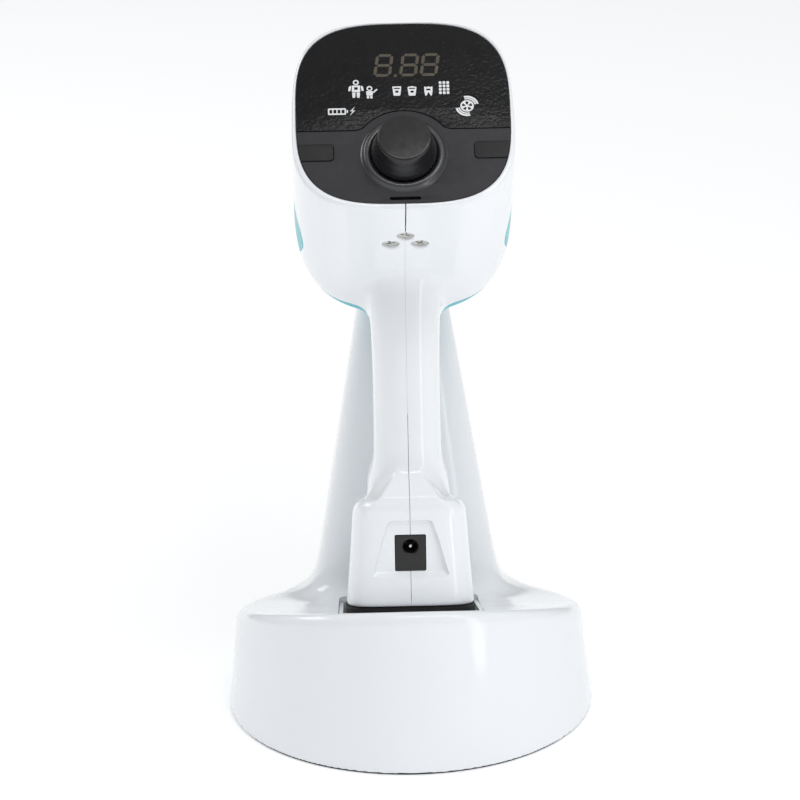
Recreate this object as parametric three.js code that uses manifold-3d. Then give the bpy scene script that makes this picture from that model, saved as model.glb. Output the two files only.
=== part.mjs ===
// Handheld intraoral X-ray unit standing in its cradle.
// Millimetres, +Z up, -Y towards the operator, +Y along the beam. The origin is the centre of the underside.
import * as THREE from "three";
import { mergeVertices } from "three/addons/utils/BufferGeometryUtils.js";
import Module from "manifold-3d";

const wasm = await Module();
wasm.setup();

// ---------- driving dimensions ----------
const GAP = 0.3; // clearance between neighbouring pieces
const WALL = 2.6; // moulded wall thickness

// stand base: a drafted drum with a sloping top
const BASE_RADIUS = 70;
const BASE_DRAFT = 0.105; // radius lost per millimetre of height
const BASE_BOTTOM = 1.1; // lower rim of the shell above the table
const BASE_EDGE = 5; // rounding of the top edge
const BASE_TOP = 39.3; // height of the top at the centre
const BASE_SLOPE = -0.289;
const BASE_CURVE = 0.00118;
const MAT_THICKNESS = 0.8;
const MAT_RADIUS = 69;
const PLATE_RADIUS = 64;
const PLATE_THICKNESS = 2.4;
const PLATE_TOP = BASE_BOTTOM + GAP + PLATE_THICKNESS;
const BOSS_X = 46;
const BOSS_Y = 26;

// stand column behind the handle
const COLUMN_TOP = 150;
const COLUMN_TOP_HALF = 17.3; // half width at the top
const COLUMN_SPREAD = 0.166; // half width gained per millimetre downwards
const COLUMN_NEAR_LOW = 20; // near face at the foot of the column
const COLUMN_NEAR_HIGH = 30;
const COLUMN_FAR_LOW = 60;
const COLUMN_FAR_HIGH = 58;
const COLUMN_FLARE = 22; // radius of the fillet into the base

// pocket that takes the foot of the handset
const POCKET_HALF = 27;
const POCKET_NEAR = -50;
const POCKET_FAR = 15.5;
const POCKET_DEPTH = 10;

// head: a horizontal barrel crossed by the slanted prism of the control panel
const BARREL_HALF = 41.6;
const BARREL_DEPTH = 43.2;
const BARREL_POWER = 2.42;
const BARREL_Z = 196.5;
const HEAD_FRONT = 62;
const BEAM_Z = 194.5; // height of the beam axis
const PANEL_CENTRE = new THREE.Vector3(0, -31.9, 239.7);
const PANEL_TILT = Math.PI / 4; // panel normal above the horizontal
const PANEL_HALF_X = 37.9;
const PANEL_HALF_Y = 37.2;
const PANEL_POWER = 3.2;
const PANEL_THICKNESS = 2.6;
const RIM = 2.3; // white border around the panel
const RIM_PROUD = 0.5;
const UNDERSIDE_DROP = THREE.MathUtils.degToRad(41); // fall of the head's underside

// grip and foot
const FOOT_NEAR = -47.5;
const FOOT_FAR = 12;
const FOOT_TOP = 99.4;
const SHELF_HALF = 4.2; // half width of the sloping shelf where it meets the grip
const SHELF_FOOT_HALF = 12; // and where it meets the foot
const SHELF_FOOT_Z = 98.6; // height at which its sides turn upright
const SHELF_BURIED_Z = 88; // inside the foot
const SHELF_Z = 106.4;
const SHELF_LOW_Z = 99.7; // height of the shelf at the foot's near edge
const FOOT_SLOPE = -0.333; // fall of the foot's underside and top per millimetre of Y
const FOOT_LOW = 42; // height of that underside at the middle

// jog knob
const KNOB_Y = -17.3; // in the panel's own axes
const KNOB_HEIGHT = 12.1;
const COLLAR_RADIUS = 14.4;

// beam cone
const CONE_START = 70.3;
const CONE_END = 176;

// ---------- materials ----------
const WHITE = finish(0xf1f3f6, 0.22, 0);
const PANEL_BLACK = finish(0x24262a, 0.55, 0);
const GLASS_BLACK = finish(0x0c0d10, 0.12, 0);
const KNOB_BLACK = finish(0x17181b, 0.45, 0);
const RUBBER = finish(0x111214, 0.85, 0);
const TEAL = finish(0x2fc3cf, 0.3, 0);
const STEEL = finish(0xb9bdc2, 0.3, 1);
const CONE_GREY = finish(0x3a3f45, 0.5, 0);
const LEAD = finish(0x70747a, 0.6, 1);
const ALUMINIUM = finish(0xc8ccd0, 0.35, 1);
const BOARD = finish(0x1d5b37, 0.6, 0);
const DARK_PLASTIC = finish(0x2b2d31, 0.5, 0);
const CELL_BLUE = finish(0x2a5ea8, 0.4, 0);
const CERAMIC = finish(0xd9d4c4, 0.4, 0);

function finish(color, roughness, metalness) {
  return new THREE.MeshStandardMaterial({ color, roughness, metalness });
}

// ---------- solids ----------
function solid(geometry) {
  const plain = geometry.clone();
  plain.deleteAttribute("normal");
  plain.deleteAttribute("uv");
  const merged = mergeVertices(plain, 1e-4);
  const index = merged.index.array;
  const kept = [];
  for (let i = 0; i < index.length; i += 3) {
    const [a, b, c] = [index[i], index[i + 1], index[i + 2]];
    if (a !== b && b !== c && a !== c) kept.push(a, b, c);
  }
  const vertProperties = new Float32Array(merged.attributes.position.array);
  const triVerts = new Uint32Array(kept);
  return new wasm.Manifold(new wasm.Mesh({ numProp: 3, vertProperties, triVerts }));
}

function geometryOf(body) {
  const mesh = body.getMesh();
  const geometry = new THREE.BufferGeometry();
  geometry.setAttribute("position", new THREE.BufferAttribute(new Float32Array(mesh.vertProperties), 3));
  geometry.setIndex(new THREE.BufferAttribute(new Uint32Array(mesh.triVerts), 1));
  return geometry;
}

// a closed skin through rings that all hold the same number of points
function loft(rings) {
  const count = rings[0].length;
  const points = rings.flat().flatMap((p) => [p.x, p.y, p.z]);
  const faces = [];
  for (let r = 0; r + 1 < rings.length; r += 1) {
    for (let i = 0; i < count; i += 1) {
      const j = (i + 1) % count;
      const [a, b, c, d] = [r * count + i, r * count + j, (r + 1) * count + j, (r + 1) * count + i];
      faces.push(a, b, c, a, c, d);
    }
  }
  for (const [r, up] of [[0, false], [rings.length - 1, true]]) {
    const centre = rings[r].reduce((sum, p) => sum.add(p), new THREE.Vector3()).divideScalar(count);
    const apex = points.length / 3;
    points.push(centre.x, centre.y, centre.z);
    for (let i = 0; i < count; i += 1) {
      const a = r * count + i;
      const b = r * count + ((i + 1) % count);
      faces.push(...(up ? [a, b, apex] : [b, a, apex]));
    }
  }
  const geometry = new THREE.BufferGeometry();
  geometry.setAttribute("position", new THREE.Float32BufferAttribute(points, 3));
  geometry.setIndex(faces);
  return solid(geometry);
}

// points of a superellipse, anticlockwise
function superellipse(halfX, halfY, power, count) {
  const points = [];
  for (let i = 0; i < count; i += 1) {
    const t = (2 * Math.PI * (i + 0.5)) / count;
    const [c, s] = [Math.cos(t), Math.sin(t)];
    const x = halfX * Math.sign(c) * Math.abs(c) ** (2 / power);
    const y = halfY * Math.sign(s) * Math.abs(s) ** (2 / power);
    points.push(new THREE.Vector2(x, y));
  }
  return points;
}

// a horizontal ring of a superellipse between near and far faces
function levelRing(halfX, near, far, z, power, count) {
  const middle = (near + far) / 2;
  const outline = superellipse(halfX, (far - near) / 2, power, count);
  return outline.map((p) => new THREE.Vector3(p.x, p.y + middle, z));
}

// a polygon in the YZ plane, pushed along X from -half to +half
function sideSlab(points, half) {
  const shape = new THREE.Shape(points.map(([y, z]) => new THREE.Vector2(y, z)));
  const geometry = new THREE.ExtrudeGeometry(shape, { depth: 2 * half, bevelEnabled: false });
  const frame = new THREE.Matrix4().makeBasis(
    new THREE.Vector3(0, 1, 0),
    new THREE.Vector3(0, 0, 1),
    new THREE.Vector3(1, 0, 0),
  );
  geometry.applyMatrix4(frame);
  geometry.translate(-half, 0, 0);
  return solid(geometry);
}

// a polygon in the XZ plane, pushed along Y from near to far
function frontSlab(points, near, far) {
  const rings = [far, near].map((y) => points.map(([x, z]) => new THREE.Vector3(x, y, z)));
  return loft(rings);
}

function block(x0, x1, y0, y1, z0, z1) {
  const geometry = new THREE.BoxGeometry(x1 - x0, y1 - y0, z1 - z0);
  geometry.translate((x0 + x1) / 2, (y0 + y1) / 2, (z0 + z1) / 2);
  return solid(geometry);
}

// a turned solid from [radius, height] pairs, with its axis along +Z
function turned(profile, segments = 40) {
  const points = profile.map(([r, h]) => new THREE.Vector2(r, h));
  const open = profile[0][0] > 0;
  if (open) points.push(points[0].clone());
  return solid(new THREE.LatheGeometry(points, segments).applyMatrix4(latheToZ));
}
const latheToZ = new THREE.Matrix4().makeRotationX(Math.PI / 2);

// turns the +Z axis of a solid to a direction and moves it to a place
function placed(body, direction, place) {
  const turn = new THREE.Quaternion().setFromUnitVectors(new THREE.Vector3(0, 0, 1), direction);
  const matrix = new THREE.Matrix4().makeRotationFromQuaternion(turn).setPosition(place);
  return body.transform(matrix.elements);
}

const alongY = new THREE.Vector3(0, 1, 0);
const panelNormal = new THREE.Vector3(0, -Math.cos(PANEL_TILT), Math.sin(PANEL_TILT));
const panelUp = new THREE.Vector3(0, Math.sin(PANEL_TILT), Math.cos(PANEL_TILT));
const undersideDirection = new THREE.Vector3(0, Math.cos(UNDERSIDE_DROP), -Math.sin(UNDERSIDE_DROP));

// a point given in the panel's own axes
function onPanel(x, y, height) {
  return PANEL_CENTRE.clone()
    .add(new THREE.Vector3(x, 0, 0))
    .addScaledVector(panelUp, y)
    .addScaledVector(panelNormal, height);
}

// moves a solid made in the panel's own axes to its place
const panelMatrix = new THREE.Matrix4()
  .makeBasis(new THREE.Vector3(1, 0, 0), panelUp, panelNormal)
  .setPosition(PANEL_CENTRE);
function fromPanel(body) {
  return body.transform(panelMatrix.elements);
}

// a slab with the panel's outline, in the panel's own axes
function slabOnPanel(grow, low, high) {
  const outline = superellipse(PANEL_HALF_X + grow, PANEL_HALF_Y + grow, PANEL_POWER, 40);
  const rings = [low, high].map((h) => outline.map((p) => new THREE.Vector3(p.x, p.y + 0.2, h)));
  return loft(rings);
}

const group = new THREE.Group();
function add(name, body, material) {
  const mesh = new THREE.Mesh(geometryOf(body), material);
  mesh.name = name;
  group.add(mesh);
}

// ---------- outer forms ----------
function baseTopHeight(y) {
  return BASE_TOP + BASE_SLOPE * y + BASE_CURVE * y * y;
}

// the base drum, or its inside when inset is above zero
function baseForm(inset, bottom) {
  const count = 40;
  const edge = Math.max(BASE_EDGE - inset, 1);
  const ring = (radiusAt, heightAt) =>
    Array.from({ length: count }, (_, i) => {
      const t = (2 * Math.PI * i) / count;
      const outer = BASE_RADIUS - inset;
      const crest = baseTopHeight(outer * 0.9 * Math.sin(t)) - inset;
      const z = heightAt(crest);
      const radius = radiusAt(outer - BASE_DRAFT * Math.max(z, 0));
      return new THREE.Vector3(radius * Math.cos(t), radius * Math.sin(t), z);
    });
  const topRing = (share) =>
    Array.from({ length: count }, (_, i) => {
      const t = (2 * Math.PI * i) / count;
      const y = (BASE_RADIUS - inset) * 0.9 * share * Math.sin(t);
      const crest = baseTopHeight(y) - inset;
      const radius = (BASE_RADIUS - inset - BASE_DRAFT * crest - edge) * share;
      return new THREE.Vector3(radius * Math.cos(t), radius * Math.sin(t), crest);
    });
  const rings = [ring((r) => r, () => bottom)];
  for (const angle of [0, 45, 90]) {
    const a = THREE.MathUtils.degToRad(angle);
    rings.push(
      ring(
        (r) => r - edge * (1 - Math.cos(a)),
        (crest) => crest - edge * (1 - Math.sin(a)),
      ),
    );
  }
  for (const share of [0.66, 0.33]) rings.push(topRing(share));
  return loft(rings);
}

// half width and faces of the column at a height
function columnAt(z) {
  const share = (COLUMN_TOP - z) / (COLUMN_TOP - 35);
  return {
    half: COLUMN_TOP_HALF + COLUMN_SPREAD * (COLUMN_TOP - z),
    near: COLUMN_NEAR_HIGH + (COLUMN_NEAR_LOW - COLUMN_NEAR_HIGH) * share,
    far: COLUMN_FAR_HIGH + (COLUMN_FAR_LOW - COLUMN_FAR_HIGH) * share,
  };
}

function columnForm(inset, low, high) {
  const rings = [];
  const steps = [low, 28, 30, 33, 38, 46, 58, 90, 120, high];
  for (const z of steps.filter((h) => h >= low && h <= high)) {
    const { half, near, far } = columnAt(z);
    const rise = Math.min(Math.max(z - 28, 0), COLUMN_FLARE);
    const flare = COLUMN_FLARE - Math.sqrt(COLUMN_FLARE ** 2 - (COLUMN_FLARE - rise) ** 2);
    const side = Math.min(flare, 13);
    const back = Math.min(flare, 2.5);
    rings.push(levelRing(half + side - inset, near + inset, far + back - inset, z, 3.4, 32));
  }
  return loft(rings);
}

// rise of the roof above the barrel's middle, and its squareness, from the operator's side to the front
const ROOF_SECTIONS = [
  { y: -95, rise: 125, power: 4 },
  { y: -5, rise: 71.4, power: 4 },
  { y: 12, rise: 59.5, power: 3.4 },
  { y: 28, rise: 48.5, power: 2.9 },
  { y: 42, rise: 42.5, power: 2.5 },
  { y: 90, rise: 41.5, power: 2.4 },
];

function roofAt(y) {
  const next = Math.max(1, ROOF_SECTIONS.findIndex((s) => s.y >= y));
  const [a, b] = [ROOF_SECTIONS[next - 1], ROOF_SECTIONS[next]];
  const t = (y - a.y) / (b.y - a.y);
  return { rise: a.rise + (b.rise - a.rise) * t, power: a.power + (b.power - a.power) * t };
}

function barrelForm(grow, near, far) {
  const between = ROOF_SECTIONS.map((s) => s.y).filter((y) => y > near && y < far);
  const rings = [far, ...between.reverse(), near].map((y) => {
    const roof = roofAt(y);
    const halfX = BARREL_HALF + grow;
    const lower = superellipse(halfX, BARREL_DEPTH + grow, BARREL_POWER, 44).filter((p) => p.y < 0);
    const upper = superellipse(halfX, roof.rise + grow, roof.power, 44).filter((p) => p.y > 0);
    return [...upper, ...lower].map((p) => new THREE.Vector3(p.x, y, p.y + BARREL_Z));
  });
  return loft(rings);
}

// the slanted prism whose upper end carries the panel; its upper side opens out so that the roof is free
function prismForm(grow, proud) {
  const length = 125;
  const rings = [length, 0].map((depth) => {
    const spread = depth > 0 ? 1.05 : 1;
    const lift = depth > 0 ? 0 : proud;
    const [halfX, halfY] = [(PANEL_HALF_X + grow) * spread, (PANEL_HALF_Y + grow) * spread];
    const outline = superellipse(halfX, halfY, PANEL_POWER, 40);
    return outline.map((p) => {
      const y = depth > 0 && p.y > 0 ? p.y * 2.6 : p.y;
      return onPanel(p.x, y + 0.2, lift).addScaledVector(undersideDirection, depth);
    });
  });
  return loft(rings);
}

function headForm(inset) {
  const panelEnd = inset > 0 ? 10 : RIM_PROUD;
  return barrelForm(-inset, -94, HEAD_FRONT - inset).intersect(prismForm(RIM - inset, panelEnd));
}

// level sections of the grip; it widens where it meets the foot and the head
const GRIP_SECTIONS = [
  { z: 80, half: 15.5, near: -45, far: 11, power: 3.2 },
  { z: 96, half: 15.2, near: -42, far: 10, power: 3 },
  { z: 99, half: 14.3, near: -39.4, far: 8.6, power: 2.9 },
  { z: 102, half: 13.4, near: -37.2, far: 7.2, power: 2.8 },
  { z: 106, half: 12.8, near: -35.6, far: 6.2, power: 2.8 },
  { z: 118, half: 12.5, near: -33.4, far: 7, power: 2.7 },
  { z: 134, half: 12.4, near: -30.2, far: 10.5, power: 2.7 },
  { z: 148, half: 12.6, near: -27.4, far: 13.5, power: 2.7 },
  { z: 158, half: 13.2, near: -25.6, far: 16.5, power: 2.7 },
  { z: 166, half: 14.2, near: -25, far: 18.5, power: 2.7 },
  { z: 186, half: 13.4, near: -20, far: 20, power: 2.7 },
];
// sections of the foot, each sloping like its underside; z is the height at the near edge
const FOOT_SECTIONS = [
  { z: 36, half: 25.4, near: -49.5, far: FOOT_FAR, power: 5 },
  { z: 58, half: 23.9, near: -48.7, far: FOOT_FAR, power: 5 },
  { z: 77, half: 22.3, near: -48.1, far: FOOT_FAR, power: 5 },
  { z: 96.2, half: 20.7, near: -47.4, far: FOOT_FAR, power: 5 },
  { z: 98.4, half: 20, near: -46.7, far: 11.3, power: 4.8 },
  { z: FOOT_TOP, half: 18.4, near: -45, far: 9.7, power: 4.4 },
];

function footUnderside(y) {
  return FOOT_LOW + FOOT_SLOPE * y;
}

function handleForm(inset) {
  const ringOf = (s, z) => levelRing(s.half - inset, s.near + inset, s.far - inset, z, s.power, 28);
  const grip = loft(GRIP_SECTIONS.map((s) => ringOf(s, s.z)));
  const slopingRing = (s, z) =>
    ringOf(s, z).map((p) => new THREE.Vector3(p.x, p.y, p.z + FOOT_SLOPE * (p.y - FOOT_NEAR)));
  const foot = loft(FOOT_SECTIONS.map((s, i) => slopingRing(s, i > 2 ? s.z - inset : s.z)));
  const shelfSide = [
    [-45.5, SHELF_BURIED_Z],
    [-30, SHELF_BURIED_Z],
    [-30, SHELF_Z],
    [-35.2, SHELF_Z],
    [-45.5, SHELF_LOW_Z],
  ];
  const shelfFront = [
    [-SHELF_FOOT_HALF, SHELF_BURIED_Z],
    [SHELF_FOOT_HALF, SHELF_BURIED_Z],
    [SHELF_FOOT_HALF, SHELF_FOOT_Z],
    [SHELF_HALF, SHELF_Z],
    [-SHELF_HALF, SHELF_Z],
    [-SHELF_FOOT_HALF, SHELF_FOOT_Z],
  ];
  let form = grip.add(foot);
  if (inset === 0) form = form.add(sideSlab(shelfSide, 20).intersect(frontSlab(shelfFront, -60, -20)));
  const kept = sideSlab(
    [
      [-70, footUnderside(-70) + inset],
      [40, footUnderside(40) + inset],
      [40, 200],
      [-70, 200],
    ],
    60,
  );
  return form.intersect(kept);
}

// ---------- stand ----------
const pocketLine = (y, depth) => baseTopHeight(y) - depth;
function pocketForm(clear, depth) {
  const half = POCKET_HALF - clear;
  const [near, far] = [POCKET_NEAR + clear, POCKET_FAR - clear];
  const floor = [near, far].map((y) => [y, pocketLine(y, depth)]);
  return sideSlab([...floor, [far, 90], [near, 90]], half);
}

const drumOver = (grow) => barrelForm(grow, 10, 80);
const columnTall = columnForm(0, 24, 168);
const backHatch = (clear) => block(-14 + clear, 14 - clear, 44, 80, 46 + clear, 134 - clear);

function standShell() {
  const outside = baseForm(0, BASE_BOTTOM).add(columnTall.subtract(drumOver(2.6)));
  const columnInside = columnForm(WALL, 22, 145);
  const inside = baseForm(WALL, -5).add(columnInside);
  let shell = outside.subtract(inside);
  for (const [x, y] of bossPlaces) {
    const boss = turned([[0, 0], [4, 0], [4, 1], [0, 1]], 12);
    const bossFoot = PLATE_TOP + GAP;
    const post = boss.scale([1, 1, pocketLine(y, 1) - bossFoot]).translate([x, y, bossFoot]);
    shell = shell.add(post);
    shell = shell.subtract(turned([[0, 0], [1.8, 0], [1.8, 12], [0, 12]], 12).translate([x, y, PLATE_TOP]));
  }
  shell = shell.subtract(pocketForm(0, POCKET_DEPTH + 8));
  return shell.subtract(backHatch(0));
}

const bossPlaces = [
  [BOSS_X, BOSS_Y],
  [-BOSS_X, BOSS_Y],
  [BOSS_X, -BOSS_Y],
  [-BOSS_X, -BOSS_Y],
];
add("stand_shell", standShell(), WHITE);

const hatchSkin = columnForm(0.1, 30, 150).subtract(columnForm(WALL, 28, 152));
const hatchScrews = [56, 124];
const coverHole = turned([[0, -12], [1.7, -12], [1.7, -1.9], [2.9, -1.9], [2.9, 6], [0, 6]], 16);
let hatch = hatchSkin.intersect(backHatch(GAP));
for (const z of hatchScrews) {
  hatch = hatch.subtract(placed(coverHole, alongY, new THREE.Vector3(0, columnAt(z).far, z)));
}
add("column_back_cover", hatch, WHITE);
hatchScrews.forEach((z, i) => {
  const head = columnAt(z).far - 0.9;
  const body = turned([[0, -8], [1.4, -8], [1.4, -1.6], [2.6, -1.6], [2.6, 0.2], [0, 0.2]], 16);
  add(`cover_screw_${i + 1}`, placed(body, alongY, new THREE.Vector3(0, head + 0.9, z)), STEEL);
});

const SCREW_SIDES = 14;
const screwProfile = [[0, 0], [1.4, 0], [1.4, 8.6], [2.9, 10.1], [2.9, 10.5], [0, 10.5]];

const linerTop = [30, 0, -60].map((y) => [y, pocketLine(y, 0.6)]);
const linerSpace = sideSlab([[-60, 20], [30, 20], ...linerTop], 40);
const linerOutside = pocketForm(GAP, POCKET_DEPTH + 1.5).intersect(linerSpace);
add("pocket_liner", linerOutside.subtract(pocketForm(GAP + 1.5, POCKET_DEPTH)), WHITE);

const padRegion = columnForm(1.2, 24, 168);
const padCut = block(-30, 30, 20, 70, 100, 165);
add("cradle_pad", padRegion.intersect(drumOver(2.3)).subtract(drumOver(GAP)).intersect(padCut), RUBBER);

const plateLow = BASE_BOTTOM + GAP;
const plateLine = [[0, plateLow], [PLATE_RADIUS, plateLow], [PLATE_RADIUS, PLATE_TOP], [0, PLATE_TOP]];
let basePlate = turned(plateLine, 40);
for (const [x, y] of bossPlaces) {
  const hole = [[0, 0], [3.4, 0], [3.4, 3], [1.9, 4.4], [1.9, 8], [0, 8]];
  basePlate = basePlate.subtract(turned(hole, 16).translate([x, y, 0]));
}
add("base_plate", basePlate, DARK_PLASTIC);
const mat = turned([[0, 0], [MAT_RADIUS, 0], [MAT_RADIUS, MAT_THICKNESS], [0, MAT_THICKNESS]], 48);
add("anti_slip_mat", mat, RUBBER);
const ballast = turned([[0, 0], [44, 0], [44, 9], [42, 11], [0, 11]], 40);
add("ballast_weight", ballast.translate([0, 0, PLATE_TOP + GAP]), STEEL);
bossPlaces.forEach(([x, y], i) => {
  const body = turned([[0, 0], [3, 0], [3, 0.6], [1.5, 2], [1.5, 11], [0, 11]], 16);
  add(`base_screw_${i + 1}`, body.translate([x, y, BASE_BOTTOM + 0.4]), STEEL);
});

// ---------- handset housing ----------
const outsideForm = headForm(0).add(handleForm(0));
const insideForm = headForm(WALL).add(handleForm(WALL));

const rearScrews = [
  { name: "rear_screw_left", x: -5.2, y: -38.4 },
  { name: "rear_screw_right", x: 5.2, y: -38.4 },
  { name: "rear_screw_top", x: 0, y: -43.3 },
];
const undersideNormal = new THREE.Vector3(0, -Math.sin(UNDERSIDE_DROP), -Math.cos(UNDERSIDE_DROP));
function onUnderside(x, y, depth) {
  const edge = onPanel(0, 0.2 - PANEL_HALF_Y - RIM, 0);
  const z = edge.z - Math.tan(UNDERSIDE_DROP) * (y - edge.y);
  return new THREE.Vector3(x, y, z).addScaledVector(undersideNormal, -depth);
}

// turned beam hole, seats and openings of the housing
const beamDrill = turned([[0, 0], [31, 0], [31, 30], [0, 30]], 48);
const beamHole = placed(beamDrill, alongY, new THREE.Vector3(0, 50, BEAM_Z));
const JACK_Z = 78.4;
const JACK_HALF = 5.5;
const JACK_RISE = 6.9; // half the height of the inlet
const RECESS_FLOOR = -46.2;
const jackHole = block(
  -JACK_HALF - GAP, JACK_HALF + GAP, -60, -30, JACK_Z - JACK_RISE - GAP, JACK_Z + JACK_RISE + GAP,
);
const jackRecess = frontSlab([[13.5, 69.5], [7.3, 91], [-7.3, 91], [-13.5, 69.5]], -60, RECESS_FLOOR);
const TRIGGER_LOW = 134;
const TRIGGER_HIGH = 160;
const triggerHole = block(-6.4, 6.4, 5.2, 40, TRIGGER_LOW, TRIGGER_HIGH);

// inlaid accent strips: a band under the head that rises to a rounded nose on each side
const ACCENT_HALF = 7; // the two strips stop short of the handle
const ACCENT_LINE = [
  [34, 149],
  [36, 176],
  [38, 207],
  [10, 206.5],
  [-2, 205.5],
  [-12, 203],
  [-17, 197.5],
  [-16.5, 192],
  [-12, 186],
  [-5, 182.5],
  [3, 180],
  [8, 176],
  [7.5, 170],
  [2, 164],
  [0, 160],
  [1, 149],
];
function accentRegion(clear, side) {
  const [outline] = new wasm.CrossSection([ACCENT_LINE]).offset(clear, "Miter").toPolygons();
  const inner = ACCENT_HALF - clear;
  const half = side < 0 ? block(-60, -inner, -40, 90, 100, 230) : block(inner, 60, -40, 90, 100, 230);
  return sideSlab(outline, 60).intersect(half);
}
const accentForm = (side) => headForm(0.05).subtract(headForm(1.5)).intersect(accentRegion(0, side));
const accentSeat = (side) => accentRegion(GAP, side).subtract(headForm(1.5 + GAP));

function housing(side) {
  const opening = fromPanel(slabOnPanel(0.2, -PANEL_THICKNESS - GAP, 12));
  let shell = outsideForm.subtract(insideForm).subtract(opening);
  shell = shell.subtract(beamHole).subtract(jackHole).subtract(jackRecess).subtract(triggerHole);
  for (const s of rearScrews) {
    const hole = turned([[0, 0], [1.8, 0], [1.8, 8], [3.3, 9.8], [3.3, 16], [0, 16]], 16);
    shell = shell.subtract(placed(hole, undersideNormal, onUnderside(s.x, s.y, 11)));
  }
  shell = shell.subtract(accentSeat(-1)).subtract(accentSeat(1));
  const keep = side < 0 ? block(-80, -GAP / 2, -90, 90, 20, 300) : block(GAP / 2, 80, -90, 90, 20, 300);
  const halves = shell.intersect(keep).decompose();
  return halves.reduce((best, piece) => (piece.volume() > best.volume() ? piece : best));
}
add("left_housing", housing(-1), WHITE);
add("right_housing", housing(1), WHITE);
add("accent_left", accentForm(-1), TEAL);
add("accent_right", accentForm(1), TEAL);

for (const s of rearScrews) {
  const slot = block(-2, 2, -0.35, 0.35, 9.9, 11).add(block(-0.35, 0.35, -2, 2, 9.9, 11));
  const body = turned(screwProfile, SCREW_SIDES).subtract(slot);
  add(s.name, placed(body, undersideNormal, onUnderside(s.x, s.y, 11)), STEEL);
}

// ---------- control panel ----------
function extruded(shape, low, high, curveSegments) {
  const depth = high - low;
  const geometry = new THREE.ExtrudeGeometry(shape, { depth, bevelEnabled: false, curveSegments });
  geometry.translate(0, 0, low);
  return solid(geometry);
}

// the fascia fills the slanted opening below the window
const WINDOW_EDGE = -7;
function windowRegion(clear, low, high) {
  const shape = new THREE.Shape();
  shape.moveTo(-60, WINDOW_EDGE - clear);
  shape.lineTo(-16.5, WINDOW_EDGE - clear);
  shape.absarc(0, KNOB_Y, 18.2 - clear, Math.PI - 0.62, 0.62, true);
  shape.lineTo(60, WINDOW_EDGE - clear);
  shape.lineTo(60, 60);
  shape.lineTo(-60, 60);
  return extruded(shape, low, high, 20);
}
function keyRegion(side, clear, low, high) {
  const shape = new THREE.Shape();
  const inner = 24.8 - clear;
  const outer = PANEL_HALF_X + 5;
  const [bottom, top] = [-19.2 - clear, -12.6 + clear];
  const r = 1.8;
  shape.moveTo(side * outer, bottom);
  shape.lineTo(side * (inner + r), bottom);
  shape.absarc(side * (inner + r), bottom + r, r, -Math.PI / 2, side > 0 ? -Math.PI : 0, side > 0);
  shape.absarc(side * (inner + r), top - r, r, side > 0 ? Math.PI : 0, Math.PI / 2, side > 0);
  shape.lineTo(side * outer, top);
  return extruded(shape, low, high, 5);
}
const panelDisc = (radius, low, high, segments = 40) =>
  turned([[0, low], [radius, low], [radius, high], [0, high]], segments).translate([0, KNOB_Y, 0]);

let fascia = slabOnPanel(-0.1, -PANEL_THICKNESS, 0).subtract(windowRegion(0, -10, 10));
fascia = fascia.subtract(panelDisc(12, -10, 10));
fascia = fascia.subtract(keyRegion(-1, GAP, -10, 10)).subtract(keyRegion(1, GAP, -10, 10));
fascia = fascia.subtract(block(-5.4, 5.4, -35.5, -34.2, -10, 10));
add("control_panel_fascia", fromPanel(fascia), PANEL_BLACK);

const glass = slabOnPanel(-0.1, -PANEL_THICKNESS, 0).intersect(windowRegion(-GAP, -10, 10));
add("display_window", fromPanel(glass), GLASS_BLACK);

const collarLine = [
  [11.6, -2.4],
  [11.9, -2.4],
  [11.9, GAP],
  [COLLAR_RADIUS, GAP],
  [COLLAR_RADIUS, 0.8],
  [13.2, 1.9],
  [12.1, 2.1],
  [11.6, 1.6],
];
const collar = turned(collarLine, 30);
add("knob_collar", fromPanel(collar.translate([0, KNOB_Y, 0])), PANEL_BLACK);

const keyProud = 0.35;
const keyBody = (side) => {
  const cap = keyRegion(side, 0, -2.4, keyProud).intersect(slabOnPanel(-0.1, -2.4, keyProud));
  const stem = block(side * 30 - 1.5, side * 30 + 1.5, -17.4, -14.4, -3.6, -2.3);
  return cap.add(stem);
};
add("left_key", fromPanel(keyBody(-1)), PANEL_BLACK);
add("right_key", fromPanel(keyBody(1)), PANEL_BLACK);

const knobLine = [
  [0, 1.2],
  [10.9, 1.2],
  [10.9, 2.6],
  [11.3, 3],
  [11.3, 4.4],
  [10.4, 6.4],
  [9.7, KNOB_HEIGHT - 1],
  [8.9, KNOB_HEIGHT],
  [0, KNOB_HEIGHT],
];
const knob = turned(knobLine, 30);
const knobBore = turned([[0, 0], [3.3, 0], [3.3, 7], [0, 7]], 20);
add("jog_knob", fromPanel(knob.subtract(knobBore).translate([0, KNOB_Y, 0])), KNOB_BLACK);
const shaft = turned([[0, -5.6], [3, -5.6], [3, 6.7], [0, 6.7]], 20);
add("knob_shaft", fromPanel(shaft.translate([0, KNOB_Y, 0])), STEEL);

const BOARD_TOP = -7.6;
const encoderBore = turned([[0, -6.7], [3.3, -6.7], [3.3, 0], [0, 0]], 20);
const encoder = block(-6.5, 6.5, -6.5, 6.5, BOARD_TOP + GAP, -3.6).subtract(encoderBore);
add("rotary_encoder", fromPanel(encoder.translate([0, KNOB_Y, 0])), DARK_PLASTIC);
for (const [name, side] of [["left_key_switch", -1], ["right_key_switch", 1]]) {
  const body = block(-3, 3, -3, 3, BOARD_TOP + GAP, -4.9).add(block(-1.2, 1.2, -1.2, 1.2, -5, -4.5));
  add(name, fromPanel(body.translate([side * 30, -15.9, 0])), DARK_PLASTIC);
}
const digitCase = block(-14, 16.5, 13, 27, BOARD_TOP + GAP, -PANEL_THICKNESS - GAP);
add("digit_display", fromPanel(digitCase), DARK_PLASTIC);
const board = slabOnPanel(-5.5, BOARD_TOP - 1.6, BOARD_TOP);
add("display_board", fromPanel(board), BOARD);
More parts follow.
